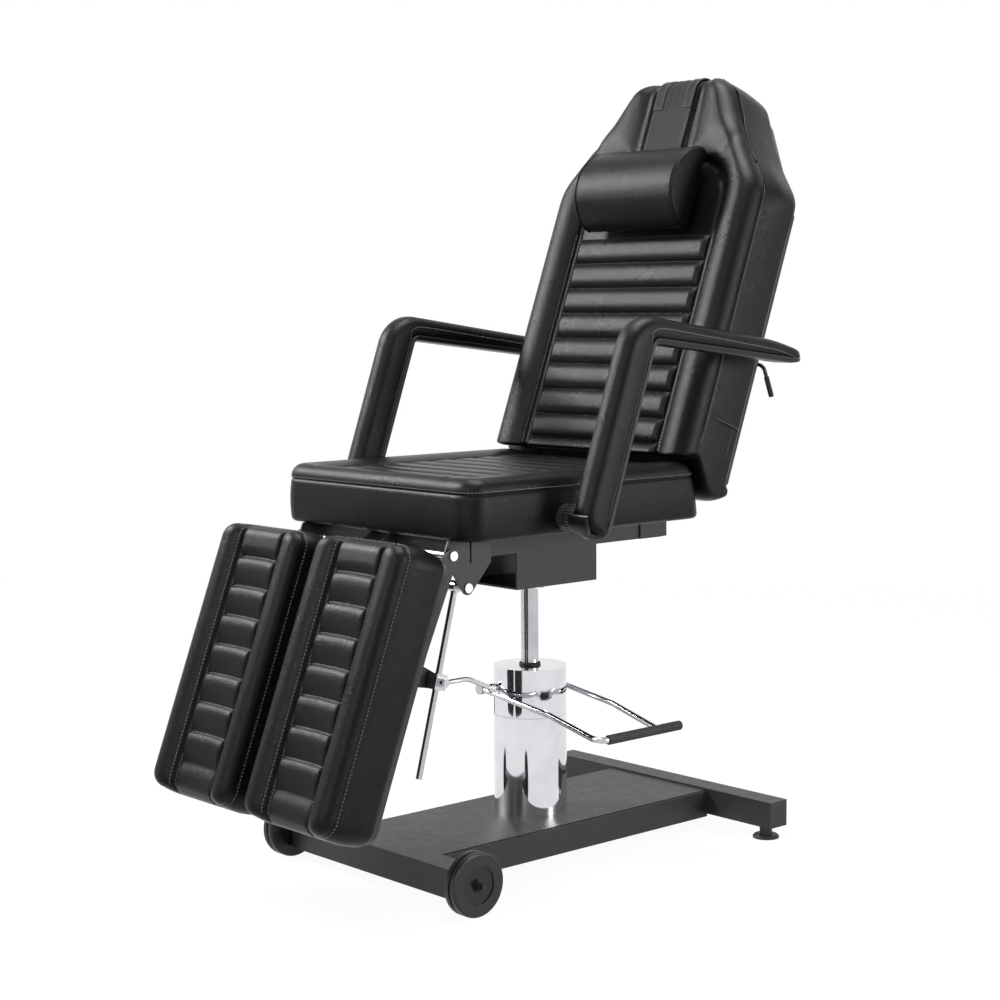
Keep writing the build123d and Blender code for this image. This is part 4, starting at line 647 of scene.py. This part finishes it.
def seat_height(x, s):
    """Height over the crest: ribs in the panel, a swelling bolster outside it, and seams."""
    away = panel_away(np.abs(x) - seat_panel, seat_panel_front - s, seat_corner)
    ends = 1 - notch(np.clip(-away, 0, None), 7)
    ribs = seat_rib * rib_height(s, seat_panel_front, seat_rib_pitch, 3.2) * ends
    seams = 1.5 * notch(seam_gap(s, seat_panel_front, seat_rib_pitch), 2.2) * ends
    inside = -seat_sink + ribs - seams
    reach = np.where(np.abs(x) > seat_panel, 54, 34)
    outside = -seat_sink + seat_sink * swell((away - 3) / reach)
    return np.where(away < 0, inside, outside) - 3 * notch(away, 2.4)


def seat_form(points):
    """Rounded box, then height field, then a wall that pulls in at its seam and swells below it,
    then the rear wall's lean."""
    (x, s, t), outward, wall = rounded(points, seat_low, seat_high, 42.0, 26.0, 9.0)
    t = raised(t, seat_low[2], seat_high[2], seat_height(x, s))
    below = np.clip((seat_seam_z - t) / (seat_seam_z - seat_low[2]), 0, 1)
    push = wall * (3.0 * np.sin(np.pi * below) - 2.2 * notch(t - seat_seam_z, 2.2))
    x = x + outward[0] * push
    s = s + outward[1] * push * (s < 0)
    share = np.clip((t - seat_low[2]) / (seat_high[2] - seat_low[2]), 0, 1)
    return np.stack((x, s - seat_lean * smooth(s, 60, seat_high[1]) * share, t), -1)


seat_ribs = seat_panel_front + seat_rib_pitch * np.arange(9)
seat_points, seat_faces = box_skin(
    stations(seat_low[0], seat_high[0], 7.0, 26.0, (-seat_panel, seat_panel)),
    stations(seat_low[1], seat_high[1], 6.0, 26.0, seat_ribs),
    stations(seat_low[2], seat_high[2], 6.0, 26.0, (seat_seam_z,)),
)
add_piece("seat_pad", chair_axes, seat_form(seat_points), seat_faces, upholstery, "seat_frame",
          replaces="seat_cushion", fill=0.8)

# %% Seat stitches
seat_lines = []
for x in (-seat_panel - 5, seat_panel + 5):
    start = (x, seat_panel_front, seat_high[2])
    end = (x, seat_panel_rear, seat_high[2])
    seat_lines.append(straight_line(seat_form, start, end, (1, 0, 0)))
start = (-seat_panel, seat_panel_front - 5, seat_high[2])
end = (seat_panel, seat_panel_front - 5, seat_high[2])
seat_lines.append(straight_line(seat_form, start, end, (0, 1, 0)))
loop = around(seat_low, seat_high, seat_seam_z + 5)
seat_lines.append(surface_line(seat_form, loop, (0, 0, 1), closed=True))
add_piece("seat_stitching", chair_axes, *stitch_mesh(seat_lines), pale_thread, "seat_frame")

# %% [markdown]
# ## Back cushion
# The back pad narrows from the shoulders to the head. Its ribbed panel lies between two tall
# bolsters, which turn inwards above the head pillow as two smooth lobes with a channel between
# them for the strap. Its bottom end lies level over the seat's rear edge, then runs down along
# the seat's rear wall and ends in a round tail. Bending one box that far by hand leaves creases,
# so a table gives the end's rise for each distance out.

# %% Back outline and levels
back_axes = leaning(266.0, 817.0, 20.5)
back_foot = -22.0
back_foot_squash = 0.3
back_low = np.array((-286.0, -50.0, -109.0))
back_high = np.array((286.0, 820.0, 42.0))
back_half = 286.0
back_panel = 192.0
back_strip = 9.0
back_rib = 9.5
back_rib_start = -50.8
back_rib_pitch = 56.8
back_rib_end = back_rib_start + 9 * back_rib_pitch
back_crest = 42.0
panel_level = 18.0
channel_level = 12.0
channel_half = 66.0
channel_groove = 61.5
recess_top = 624.0
recess_corner = 86.0
head_rise = (590.0, 690.0)
crease_x = 194.0
crease_rise = 662.0
pocket_rise = 79.0
pocket_out = -86.0
border = 62.0

table_rise = np.arange(-60.0, 861.0)
outline_rise = (548, 575, 600, 622, 655, 690, 728, 762, 785, 806, 820)
outline_width = (286, 281, 265, 249, 224, 201, 177, 159, 146, 131, 118)
table_width = np.interp(table_rise, outline_rise, outline_width)
soften = np.hanning(61) / np.hanning(61).sum()
table_width = np.convolve(np.pad(table_width, 30, mode="edge"), soften, mode="valid")


def back_half_width(s):
    """The outline's half-width: measured places softened by a moving average about 30 mm each way."""
    return np.interp(s, table_rise, table_width)


def soft_least(a, b, blur):
    """The lesser of two values, with the corner between them rounded off over a blur."""
    share = np.clip(0.5 + 0.5 * (b - a) / blur, 0, 1)
    return b * (1 - share) + a * share - blur * share * (1 - share)


def back_height(x, s):
    """Out of the front plane: 18 mm in the panel and more on its ribs, 30 mm in the head's channel,
    and 42 mm at a bolster's crest, with seams pressed in along the panel. Each lobe of the head is
    one dome, from a deep groove beside the strap to a crest nearer its outline."""
    across = np.abs(x)
    recess = panel_away(across - back_panel, s - recess_top, recess_corner)
    away = soft_least(recess, across - channel_half, 16.0)
    head = smooth(s, *head_rise)
    in_channel = 1 - smooth(across, channel_half - 2, channel_half + 16)
    foot = panel_level + channel_level * smooth(s, 560, 640) * in_channel
    ends = 1 - notch(np.clip(back_panel - across, 0, None), 6)
    ribbed = (s < back_rib_end) * ends
    ribs = back_rib * rib_height(s, back_rib_start, back_rib_pitch, 3.4) * ribbed
    inside = foot + ribs - 2.0 * notch(seam_gap(s, back_rib_start, back_rib_pitch), 2.2) * ribbed
    strip = back_strip * (1 - head)
    lobe = np.clip(0.66 * (back_half_width(s) - channel_half), 54, 90)
    flare = 54 * (1 - head) + lobe * head
    share = (away - strip) / (flare - strip)
    fall = 11 * np.clip(share - 0.75, 0, 1) ** 2 * head
    outside = foot + (back_crest - foot) * swell(share) - fall
    height = np.where(away < 0, inside, outside)
    height = height - 3.5 * notch(away, 2.4) * (1 - head) - 1.6 * notch(away - strip, 2.2) * (1 - head)
    height = height - 13 * notch(across - channel_groove, 4.2) * head
    crease = np.abs((across - crease_x) * 0.85 - (s - crease_rise) * 0.53)
    from_crease = np.hypot(across - crease_x, s - crease_rise)
    return height - 3 * notch(crease, 11.0) * notch(from_crease, 30.0)


# %% Back form
tail_out = (-109, -100, -88, -75, -62, -50, -35, -7, 0, 42)
tail_rise = (-48, -64, -73, -75, -71, -62, -43, -8, -9, -25)
elsewhere = 400.0


def back_form(points):
    """Rounded box; its border shifted in to follow the outline while the middle is squeezed to fit;
    the height field; a wall with a seam in it; and at the bottom a shear that lays the end along
    the seat's top and rear wall, with a round tail behind it."""
    (x, s, t), outward, wall = rounded(points, back_low, back_high, 40.0, 36.0, 9.0)
    join = (back_foot - back_foot_squash * back_low[1]) / (1 - back_foot_squash)
    s = np.where(s < join, back_foot + (s - back_low[1]) * back_foot_squash, s)
    width = back_half_width(s)
    across = np.abs(x)
    inner = across * (width - border) / (back_half - border)
    x = np.sign(x) * np.where(across < back_half - border, inner, across - back_half + width)
    t = raised(t, back_low[2], back_high[2], back_height(x, s) - back_crest)
    behind = np.clip(-t / 105, 0, 1)
    upper = smooth(s, 10, 50)
    shoulder = notch(s - 572, 50.0) * smooth(behind, 0, 0.55) * (1 - 0.35 * smooth(behind, 0.85, 1))
    push = wall * (3.0 * np.sin(np.pi * behind) + 10.0 * shoulder - 2.6 * notch(t, 2.2) * upper)
    pocket_top = np.abs(s - pocket_rise - 0.1 * (t + 60))
    pocket_side = np.abs(t - pocket_out) + elsewhere * (s > 74)
    pocket = np.minimum(pocket_top, pocket_side) + elsewhere * (t > -17)
    push = push - wall * 1.8 * notch(pocket, 2.0)
    x = x + outward[0] * push
    s = s + outward[1] * push * (s > 400)
    tail = np.interp(t, tail_out, tail_rise) - back_foot
    s = s + tail * (1 - smooth(s, back_foot, back_foot + 90))
    t = t - 16 * (1 - smooth(s, -48, -30)) * smooth(-t, 70, 109)
    return np.stack((x, s, t), -1)


back_sides = np.array((back_panel, back_panel + back_strip))
back_xs = stations(-back_half, back_half, 6.5, 36.0, np.append(-back_sides, back_sides))
channel_fan = np.array([60, 63, 65, 67, 70, 74]) * (back_half - border) / (150 - border)
back_xs = np.unique(np.round(np.concatenate((back_xs, channel_fan, -channel_fan)), 3))
back_seams = np.append(back_rib_start + back_rib_pitch * np.arange(1, 10), pocket_rise)
back_ss = stations(back_low[1], back_high[1], 6.0, 36.0, back_seams)
back_ts = stations(back_low[2], back_high[2], 6.0, 36.0, (pocket_out, 0.0))
back_points, back_faces = box_skin(back_xs, back_ss, back_ts)
add_piece("back_pad", back_axes, back_form(back_points), back_faces, upholstery, "backrest",
          replaces="back_cushion", fill=0.8)

# %% Back stitches and piping
back_lines = []
for side in (-1, 1):
    for x in (back_panel + 3.0, back_panel + 11.5):
        start = (side * x, -12, back_crest)
        back_lines.append(straight_line(back_form, start, (side * x, 470, back_crest), (1, 0, 0)))
    for (rise, out), (end_rise, end_out), beside in (
        ((10, -5.5), (575, -5.5), (0, 0, 1)),
        ((83, -20), (83, -104), (0, 1, 0)),
        ((76, -82), (34, -82), (0, 0, 1)),
    ):
        start = (side * back_half, rise, out)
        end = (side * back_half, end_rise, end_out)
        back_lines.append(straight_line(back_form, start, end, beside, (side, 0, 0)))
add_piece("back_stitching", back_axes, *stitch_mesh(back_lines), pale_thread, "backrest")

piping = finishes["piping_fabric"]
piping_run = around(back_low, back_high, 0.5)
piping_run = piping_run[piping_run[:, 1] > 585]
facing = back_form(piping_run) - np.array((0, 300, 0))
piping_line, piping_out = surface_line(back_form, piping_run, (0, 0, 1), facing, 1.5)
piping_tube = tube_mesh(piping_line[6:-6], piping_out[6:-6], 2.2)
add_piece("back_piping", back_axes, *piping_tube, piping, "backrest")

# %% [markdown]
# ## Leg pads
# Each leg pad is a long cushion with a sunken strip down its middle. The strip is sewn across
# into seven short segments that puff out just under each seam, so their top edges catch the
# light as small ledges. Modelling each segment would leave joins to hide, so one height field
# makes all seven. The two pads are mirror images, so one form is worked out and turned over.

# %% Leg pad form
leg_axes = leaning(-486.0, 697.0, 20.8)
leg_low = np.array((24.0, -524.0, -119.0))
leg_high = np.array((280.0, 8.0, 0.0))
leg_centre = 152.0
leg_strip = 61.0
leg_hem = 6.0
leg_sink = 22.0
leg_rib = 9.0
leg_rib_start = -461.2
leg_rib_end = -56.6
leg_rib_pitch = 57.8
leg_seam_out = -25.0


def leg_height(x, s):
    """Behind the crest: 22 mm in the strip, less on its segments. A segment rises slowly from its
    lower seam and drops fast at its upper one, and its seams bow down at both ends."""
    across = np.abs(x - leg_centre)
    away = across - leg_strip
    bowed = s + 3 * np.clip(across / leg_strip, 0, 1) ** 4
    phase = ((bowed - leg_rib_start) / leg_rib_pitch) % 1
    segment = (1 - (1 - phase) ** 2.4) * (1 - phase ** 9)
    above = 1 - notch(np.clip(bowed - leg_rib_end, 0, None), 9)
    below = 0.45 * (1 - notch(np.clip(leg_rib_start - bowed, 0, None), 14))
    share = np.where(bowed > leg_rib_end, above, np.where(bowed < leg_rib_start, below, segment))
    ends = 1 - notch(np.clip(-away, 0, None), 2.5)
    inside = -leg_sink + leg_rib * share * ends
    outside = -leg_sink + leg_sink * swell((away - 5) / 30)
    height = np.where(away < 0, inside, outside) - 3 * notch(away, 2.2)
    return height - 1.2 * notch(away - leg_hem, 2)


def leg_form(points):
    """Rounded box, then height field, then a wall that is drawn in behind the front seam and
    swells further back."""
    (x, s, t), outward, wall = rounded(points, leg_low, leg_high, 34.0, 27.0, 12.0)
    t = raised(t, leg_low[2], leg_high[2], leg_height(x, s))
    back = np.clip((leg_seam_out - t) / (leg_seam_out - leg_low[2]), 0, 1)
    swelling = 4.0 * np.sin(np.pi * back) ** 1.5 - 2.0 * notch(back, 0.12)
    push = wall * (swelling - 2.0 * notch(t - leg_seam_out, 2.2))
    return np.stack((x + outward[0] * push, s + outward[1] * push, t), -1)


leg_sides = np.array((-leg_strip - leg_hem, -leg_strip, leg_strip, leg_strip + leg_hem))
leg_ribs = leg_rib_start + leg_rib_pitch * np.arange(8) - 2.0
leg_points, leg_faces = box_skin(
    stations(leg_low[0], leg_high[0], 6.0, 27.0, leg_centre + leg_sides),
    stations(leg_low[1], leg_high[1], 5.5, 27.0, leg_ribs, (1.6, 3.2, 5.0, 7.0)),
    stations(leg_low[2], leg_high[2], 6.0, 27.0, (leg_seam_out,)),
)
loop = around(leg_low, leg_high, leg_seam_out - 5)
leg_lines = [surface_line(leg_form, loop, (0, 0, 1), closed=True)]
for offset in (-leg_strip - 10, -leg_strip - 2.5, leg_strip + 2.5, leg_strip + 10):
    start = (leg_centre + offset, -516, 0)
    leg_lines.append(straight_line(leg_form, start, (leg_centre + offset, 0, 0), (1, 0, 0)))
add_both("leg_pad", leg_axes, leg_form(leg_points), leg_faces, upholstery, "leg_rest",
         replaces="leg_cushion", fill=0.8)
add_both("leg_stitching", leg_axes, *stitch_mesh(leg_lines), pale_thread, "leg_rest")

# %% [markdown]
# ## Armrests
# An armrest is one padded tube bent like a 7: it climbs the post, turns over a wide bend and
# runs back as the arm's top. A curve with a bevel would keep one section all the way, so the
# section is carried between two lines instead, the outer one that the hand and elbow lie on, and
# the inner one along the rigid core.

# %% Armrest lines
arm_lean = radians(19.5)
arm_pivot = np.array((-96.0, 718.0))
arm_up = np.array((sin(arm_lean), cos(arm_lean)))
arm_ahead = np.array((-cos(arm_lean), sin(arm_lean)))
arm_inner_x = 330.0
arm_width = 52.0
arm_middle_x = arm_inner_x + arm_width / 2
arm_tip_y = 482.0
arm_band = 12.0
arm_counts = (64, 26, 90)
post_front = 36.0
post_rear = 24.0
foot_round = 20.0
tip_round = 26.0
top_place = np.array((110.0, 1083.0))
top_fall = 8.2
under_place = np.array((110.0, 1045.0))
under_fall = 6.7


def bent(start, corner, end, radius, counts):
    """A run, an arc of a given radius tangent to both runs, and a run: points from start to end."""
    start, corner, end = np.array((start, corner, end), float)
    first = (corner - start) / np.linalg.norm(corner - start)
    last = (end - corner) / np.linalg.norm(end - corner)
    turn = np.arccos(np.clip(first @ last, -1, 1))
    cut = radius * np.tan(turn / 2)
    sign = np.sign(first[0] * last[1] - first[1] * last[0])
    inward = sign * np.array((-first[1], first[0]))
    centre = corner - first * cut + inward * radius
    angles = np.linspace(0, turn, counts[1] + 2)[1:-1, None]
    arc = centre - inward * radius * np.cos(angles) + first * radius * np.sin(angles)
    run_in = np.linspace(start, corner - first * cut, counts[0])
    run_out = np.linspace(corner + last * cut, end, counts[2])
    return np.concatenate((run_in, arc, run_out))


def arm_line(start, place, fall, radius, counts):
    """A line that climbs the post and bends back to the tip, along a straight that falls by an
    angle, in degrees, through a place."""
    run = np.array((cos(radians(fall)), -sin(radians(fall))))
    climb = np.linalg.solve(np.stack((arm_up, -run), 1), place - start)[0]
    tip = (arm_tip_y, place[1] - (arm_tip_y - place[0]) * tan(radians(fall)))
    return bent(start, start + arm_up * climb, tip, radius, counts)


def arm_half_widths(near_foot, to_tip):
    """Half the arm's width, less what a quarter circle takes off near the foot and near the tip."""
    near_tip = np.clip(tip_round - to_tip, 0, tip_round - 0.4)
    tip_share = np.sqrt(1 - (near_tip / tip_round) ** 2)
    return arm_width / 2 * tip_share - foot_round + np.sqrt(foot_round ** 2 - near_foot ** 2)


toe = arm_pivot + post_front * arm_ahead - post_rear * arm_up
heel = arm_pivot - post_rear * arm_ahead - post_rear * arm_up
outer_line = arm_line(toe, top_place, top_fall, 78.0, arm_counts)
inner_line = arm_line(heel, under_place, under_fall, 14.0, arm_counts)
rise = (outer_line - toe) @ arm_up
foot = np.clip(post_front - rise, 0, post_front)
drawn_in = post_front - np.sqrt(post_front ** 2 - foot ** 2)
outer_line = outer_line - arm_ahead * drawn_in[:, None]
near_foot = np.clip(foot_round - arm_band - rise, 0, foot_round - arm_band)
half_widths = arm_half_widths(near_foot, arm_tip_y - outer_line[:, 0])
tip_thin = np.sqrt(smooth(arm_tip_y - outer_line[:, 0], -40, 110))
outer_line[:, 1] -= tip_round * (1 - tip_thin) * (outer_line[:, 0] > 200)
row = np.arange(sum(arm_counts))
pad_share = smooth(row, arm_counts[0], arm_counts[0] + arm_counts[1] + 8)
print("armrest path", len(outer_line), "stations")

# %% Carrying rings along a path
def turned_out(points, faces):
    """Faces that point outwards: a closed skin's signed volume, the sum over its faces of a corner
    dotted with the cross product of the next two, is positive, or else every face is reversed."""
    arms = points - points.mean(axis=0)
    first, second, third, last = (arms[[face[k] for face in faces]] for k in (0, 1, 2, -1))
    volume = (first * (np.cross(second, third) + np.cross(third, last))).sum()
    return faces if volume > 0 else [face[::-1] for face in faces]


def ring_mesh(rings, cap_shares=(0.97, 0.88, 0.6, 0.25), bulge=0.0):
    """Join rings of points, (stations, around, 3), into a closed skin. Each end is closed by copies
    of its ring drawn in towards its middle, which may bulge out along x as they shrink."""
    shares = np.array(cap_shares)[:, None, None]
    caps = []
    for end, way in ((0, -1), (-1, 1)):
        middle = rings[end].mean(axis=0)
        cap = middle + (rings[end] - middle) * shares
        caps.append(cap + np.array((way * bulge, 0, 0)) * (1 - shares ** 2))
    grid = np.concatenate((caps[0][::-1], rings, caps[1]))
    points = grid.reshape(-1, 3)
    return points, turned_out(points, quads_round(*grid.shape[:2]))


# %% Armrest section
def arm_section(depth, half, outer_round, inner_round):
    """How far across and how far in from the outer line each ring point lies. Going round one half:
    a wide quarter circle, a side that swells by a millimetre, and a tight quarter circle; the other
    half is its mirror image."""
    depth = depth[:, None]
    half = half[:, None]
    wide = np.minimum(np.minimum(outer_round, half * 0.97), depth * 0.6)
    tight = np.minimum(np.minimum(inner_round, half * 0.6), depth * 0.2)
    quarter = np.linspace(0, np.pi / 2, 8)
    run = np.linspace(0, 1, 7)[1:-1]
    across = np.concatenate((
        half - wide * (1 - np.sin(quarter)),
        half + 1.0 * np.sin(np.pi * run),
        half - tight * (1 - np.cos(quarter)),
    ), 1)
    back = np.concatenate((
        wide * (1 - np.cos(quarter)),
        wide + (depth - tight - wide) * run,
        depth - tight * (1 - np.sin(quarter)),
    ), 1)
    return np.concatenate((across, -across[:, ::-1]), 1), np.concatenate((back, back[:, ::-1]), 1)


def arm_rings(line, inward, across, back):
    """Ring points from a line in the arm's side view: across from its middle and in from the line."""
    side_view = [line[:, k:k + 1] + inward[:, k:k + 1] * back for k in range(2)]
    return np.stack((arm_middle_x + across, *side_view), -1)


# %% Armrest pads
seam_below_top = 20.0
seam_off_core = 5.0

span = inner_line - outer_line
arm_depth = np.linalg.norm(span, axis=1)
arm_down = span / arm_depth[:, None]
across, back = arm_section(arm_depth, half_widths, 25 - 5 * pad_share[:, None], 5.0)
arm_points, arm_faces = ring_mesh(arm_rings(outer_line, arm_down, across, back))
add_both("arm_pad", chair_axes, arm_points, arm_faces, upholstery, "armrest",
         replaces="arm_cushion", fill=0.8)

on_post = 1 - pad_share
seam_depth = arm_depth * on_post + pad_share * seam_below_top - seam_off_core * on_post
arm_lines = []
for way in (-1.0, 1.0):
    beside = way * (half_widths + 0.9)
    seam = arm_rings(outer_line, arm_down, beside[:, None], seam_depth[:, None])[5:-4, 0]
    arm_lines.append((seam, np.tile((way, 0.0, 0.0), (len(seam), 1))))
add_both("arm_stitching", chair_axes, *stitch_mesh(arm_lines), pale_thread, "armrest")

# %% [markdown]
# ## Armrest cores
# The core is a moulded strip under the pad. It wraps the foot, climbs the post's rear face and
# runs along the arm's underside to the tip. Cutting it out of the pad's shape would leave sharp
# edges, so its own section is carried along its outer line. A ribbed hub at its foot turns
# against the seat's.

# %% Core strip
core_half = 36.0
core_foot_radius = 33.0
core_bend = 10.0
core_tip_rise = 7.0

core_under = under_place - np.array((0, arm_band))
toe_turn = np.linspace(0, np.pi / 2, 16)
heel_turn = np.linspace(np.pi / 2, np.pi, 14)
centre = core_foot_radius - core_half
ahead = (core_half * np.cos(toe_turn), centre + core_foot_radius * np.cos(heel_turn))
above = (-core_half * np.sin(toe_turn), centre - core_foot_radius * np.sin(heel_turn))
foot_ahead = np.concatenate(ahead)[:, None] * arm_ahead
foot_line = arm_pivot + foot_ahead + np.concatenate(above)[:, None] * arm_up
climb = arm_line(foot_line[-1], core_under, under_fall, core_bend, (50, 14, 90))
core_line = np.concatenate((foot_line, climb[1:]))
core_along = unit(steps_along(core_line))
core_inward = np.stack((-core_along[:, 1], core_along[:, 0]), -1)
core_depth = np.full(len(core_line), arm_band)
core_depth[:len(toe_turn)] = np.maximum(arm_band * np.sin(toe_turn), 0.6)
to_tip = arm_tip_y - core_line[:, 0]
tip_rise = core_tip_rise * (1 - smooth(to_tip, -10, 45)) * (core_line[:, 0] > 200)
core_line = core_line + core_inward * tip_rise[:, None]
core_rise = (core_line - arm_pivot) @ arm_up + core_half
core_widths = arm_half_widths(np.clip(foot_round - core_rise, 0, foot_round - 1), to_tip)
across, back = arm_section(core_depth - tip_rise, core_widths, 9.0, 1.0)
core_points, core_faces = ring_mesh(arm_rings(core_line, core_inward, across, back))
add_both("arm_strip", chair_axes, core_points, core_faces, finishes["moulded_core"], "armrest",
         "arm_core_plastic", "arm_core")

# %% Ribbed hub
hub_radius = 26.0
hub_grooves = 24
hub_groove_depth = 1.3
hub_xs = np.array((308.0, 308.6, 309.8, 312.0, 320.0, 328.0, 330.5))
hub_shares = np.array((0.93, 0.975, 1.0, 1.0, 1.0, 1.0, 1.0))

hub_angles = 2 * np.pi * np.arange(8 * hub_grooves) / (8 * hub_grooves)
grooves = (0.5 + 0.5 * np.cos(hub_grooves * hub_angles)) ** 2
hub_reach = hub_shares[:, None] * (hub_radius - hub_groove_depth * grooves)
hub_rings = np.stack((
    np.broadcast_to(hub_xs[:, None], hub_reach.shape),
    arm_pivot[0] + hub_reach * np.cos(hub_angles),
    arm_pivot[1] + hub_reach * np.sin(hub_angles),
), -1)
add_both("arm_hub", chair_axes, *ring_mesh(hub_rings), finishes["satin_plastic"], "armrest",
         "arm_core_plastic")

# %% [markdown]
# ## Head pillow
# The pillow is a half-round bolster with flat ends, piped where the ends are sewn in. A cut
# cylinder would have hard corners, so its section is half an ellipse closed by a chord and
# softened all round, and rings of that section are strung across the chair.

# %% Pillow
pillow_half = 145.0
pillow_piping = 138.0
pillow_rise = 552.0
pillow_base = 42.6
pillow_reach = (89.0, 77.0)
heart = np.array((pillow_rise, 74.0))

angles = np.linspace(0, np.pi, 180)
section_rise = pillow_rise - pillow_reach[0] * np.cos(angles)
arc = np.stack((section_rise, pillow_base + pillow_reach[1] * np.sin(angles)), -1)
section = np.vstack((arc, np.linspace(arc[-1], arc[0], 120)[1:-1], arc[:1]))
lengths = arc_lengths(section)
section = read_at(np.linspace(0, lengths[-1], 480, endpoint=False), lengths, section)
section = (sum(np.roll(section, shift, axis=0) for shift in range(-9, 10)) / 19)[::5]

end_xs = np.array((pillow_half, 144.4, 143.6, 142.4, 140.6, 139.2, 137, 135, 132, 127, 120))
end_shares = np.array((0.90, 0.935, 0.962, 0.980, 0.988, 0.984, 0.985, 0.993, 0.998, 1.0, 1.0))
body_xs = np.linspace(-110, 110, 31)
body_shares = 1 + 0.006 * np.cos(np.pi * body_xs / 240)
pillow_xs = np.concatenate((-end_xs, body_xs, end_xs[::-1]))
pillow_shares = np.concatenate((end_shares, body_shares, end_shares[::-1]))
drawn = heart + (section - heart) * pillow_shares[:, None, None]
drawn[..., 1] = np.maximum(drawn[..., 1], pillow_base)
places = np.broadcast_to(pillow_xs[:, None, None], drawn.shape[:2] + (1,))
pillow_rings = np.concatenate((places, drawn), -1)
pillow_mesh = ring_mesh(pillow_rings, (0.985, 0.94, 0.8, 0.5, 0.2), 0.8)
add_piece("pillow_pad", back_axes, *pillow_mesh, upholstery, "pillow",
          replaces="head_pillow", fill=0.9)

cord_section = heart + (section - heart) * 0.992
cord_section[:, 1] = np.maximum(cord_section[:, 1], pillow_base + 1)
outward = np.pad(section - heart, ((0, 0), (1, 0)))
cord_points = []
for end in (-pillow_piping, pillow_piping):
    ring = np.insert(cord_section, 0, end, axis=1)
    points, faces = tube_mesh(ring, outward, 2.0, True)
    cord_points.append(points)
cord_faces = faces + [[index + len(points) for index in face] for face in faces]
cord_points = np.concatenate(cord_points)
add_piece("pillow_piping", back_axes, cord_points, cord_faces, piping, "pillow")

# %% [markdown]
# ## Head strap
# A wide strap of the same fabric holds the pillow. It runs up the channel, over the head end and
# down behind the board. Two hemmed strips are sewn on along its edges near the top, and the
# fabric between them is gathered into soft folds. A cloth simulation could make the folds too,
# but a flat sheet carried along the strap's path, with waves for folds, keeps them in place.

# %% Strap form
strap_half = 56.0
strap_start = 520.0
strap_inner = 30.6
strap_top = 820.6
strap_middle = -60.0
strap_rear = -121.4
strap_end_rise = 700.0
strap_thickness = 3.0
strap_heart = np.array((0, 700, -40))
hem_edges = (28.0, 30.0)
hem_along = 225.0

strap_front = (strap_start, strap_inner)
over = (strap_top, strap_middle)
front_path = bent(strap_front, (strap_top, strap_inner), over, 34.0, (60, 12, 12))
rear_path = bent(over, (strap_top, strap_rear), (strap_end_rise, strap_rear), 6.0, (12, 6, 24))
strap_path = np.concatenate((front_path, rear_path[1:]))
path_lengths = arc_lengths(strap_path)
path_along = unit(np.gradient(strap_path, path_lengths, axis=0))
path_out = np.stack((-path_along[:, 1], path_along[:, 0]), -1)


def strap_form(points):
    """A sheet carried along the path: across, a length along the path, and a height above it. The
    outer side rises on the hemmed strips and in the gathers between them."""
    x, along, height = points.T
    way = unit(read_at(along, path_lengths, path_out))
    hemmed = smooth(along, hem_along - 0.8, hem_along + 0.8)
    strips = smooth(np.abs(x), *hem_edges) * hemmed
    gathers = (1 - strips) * hemmed * np.sin(x * 0.3 + 1.2 * np.sin(along / 30)) * 1.1
    edges = notch(strap_half - np.abs(x), 1.6)
    lift = np.where(height > 1, 1.4 * strips + gathers - 1.2 * edges, 0)
    place = read_at(along, path_lengths, strap_path) + way * (height + lift)[:, None]
    return np.concatenate((x[:, None], place), 1)


edge_xs = (-30, -28, 28, 30, -54, 54)
strap_xs = np.concatenate((np.linspace(-strap_half, strap_half, 75), edge_xs))
hem_stations = hem_along + np.array((-2, -0.8, 0, 0.8, 2))
strap_us = np.concatenate((np.linspace(0, path_lengths[-1], 130), hem_stations))
strap_grid = [np.unique(np.round(places, 2)) for places in (strap_xs, strap_us)]
strap_points, strap_faces = box_skin(*strap_grid, np.array((0.0, strap_thickness)))
strap_points = strap_form(strap_points)
strap_faces = turned_out(strap_points, strap_faces)
add_piece("strap", back_axes, strap_points, strap_faces, finishes["strap_fabric"], "backrest",
          replaces="head_strap")
print("strap path", round(path_lengths[-1]), "mm long")

# %% Strap stitches
def strap_line(start, end, beside, count=160):
    """A straight run on the strap's outer side, facing away from the board that it goes round."""
    run = np.linspace((*start, strap_thickness), (*end, strap_thickness), count)
    facing = (strap_form(run) - strap_heart) * (0, 1, 1)
    return surface_line(strap_form, run, beside, facing)


hem_start = hem_along + 3
hem_end = path_lengths[-1] - 4
strap_lines = []
for x in (-53.0, -33.0, 33.0, 53.0):
    strap_lines.append(strap_line((x, hem_start), (x, hem_end), (1, 0, 0), 240))
for side in (-1, 1):
    edge = side * 50
    strap_lines.append(strap_line((edge, 20), (edge, hem_start - 6), (1, 0, 0)))
    ends = ((side * 33, hem_start + 1), (side * 53, hem_start + 1))
    strap_lines.append(strap_line(*ends, (0, 1, 0), 20))
add_piece("strap_stitching", back_axes, *stitch_mesh(strap_lines), pale_thread, "backrest")
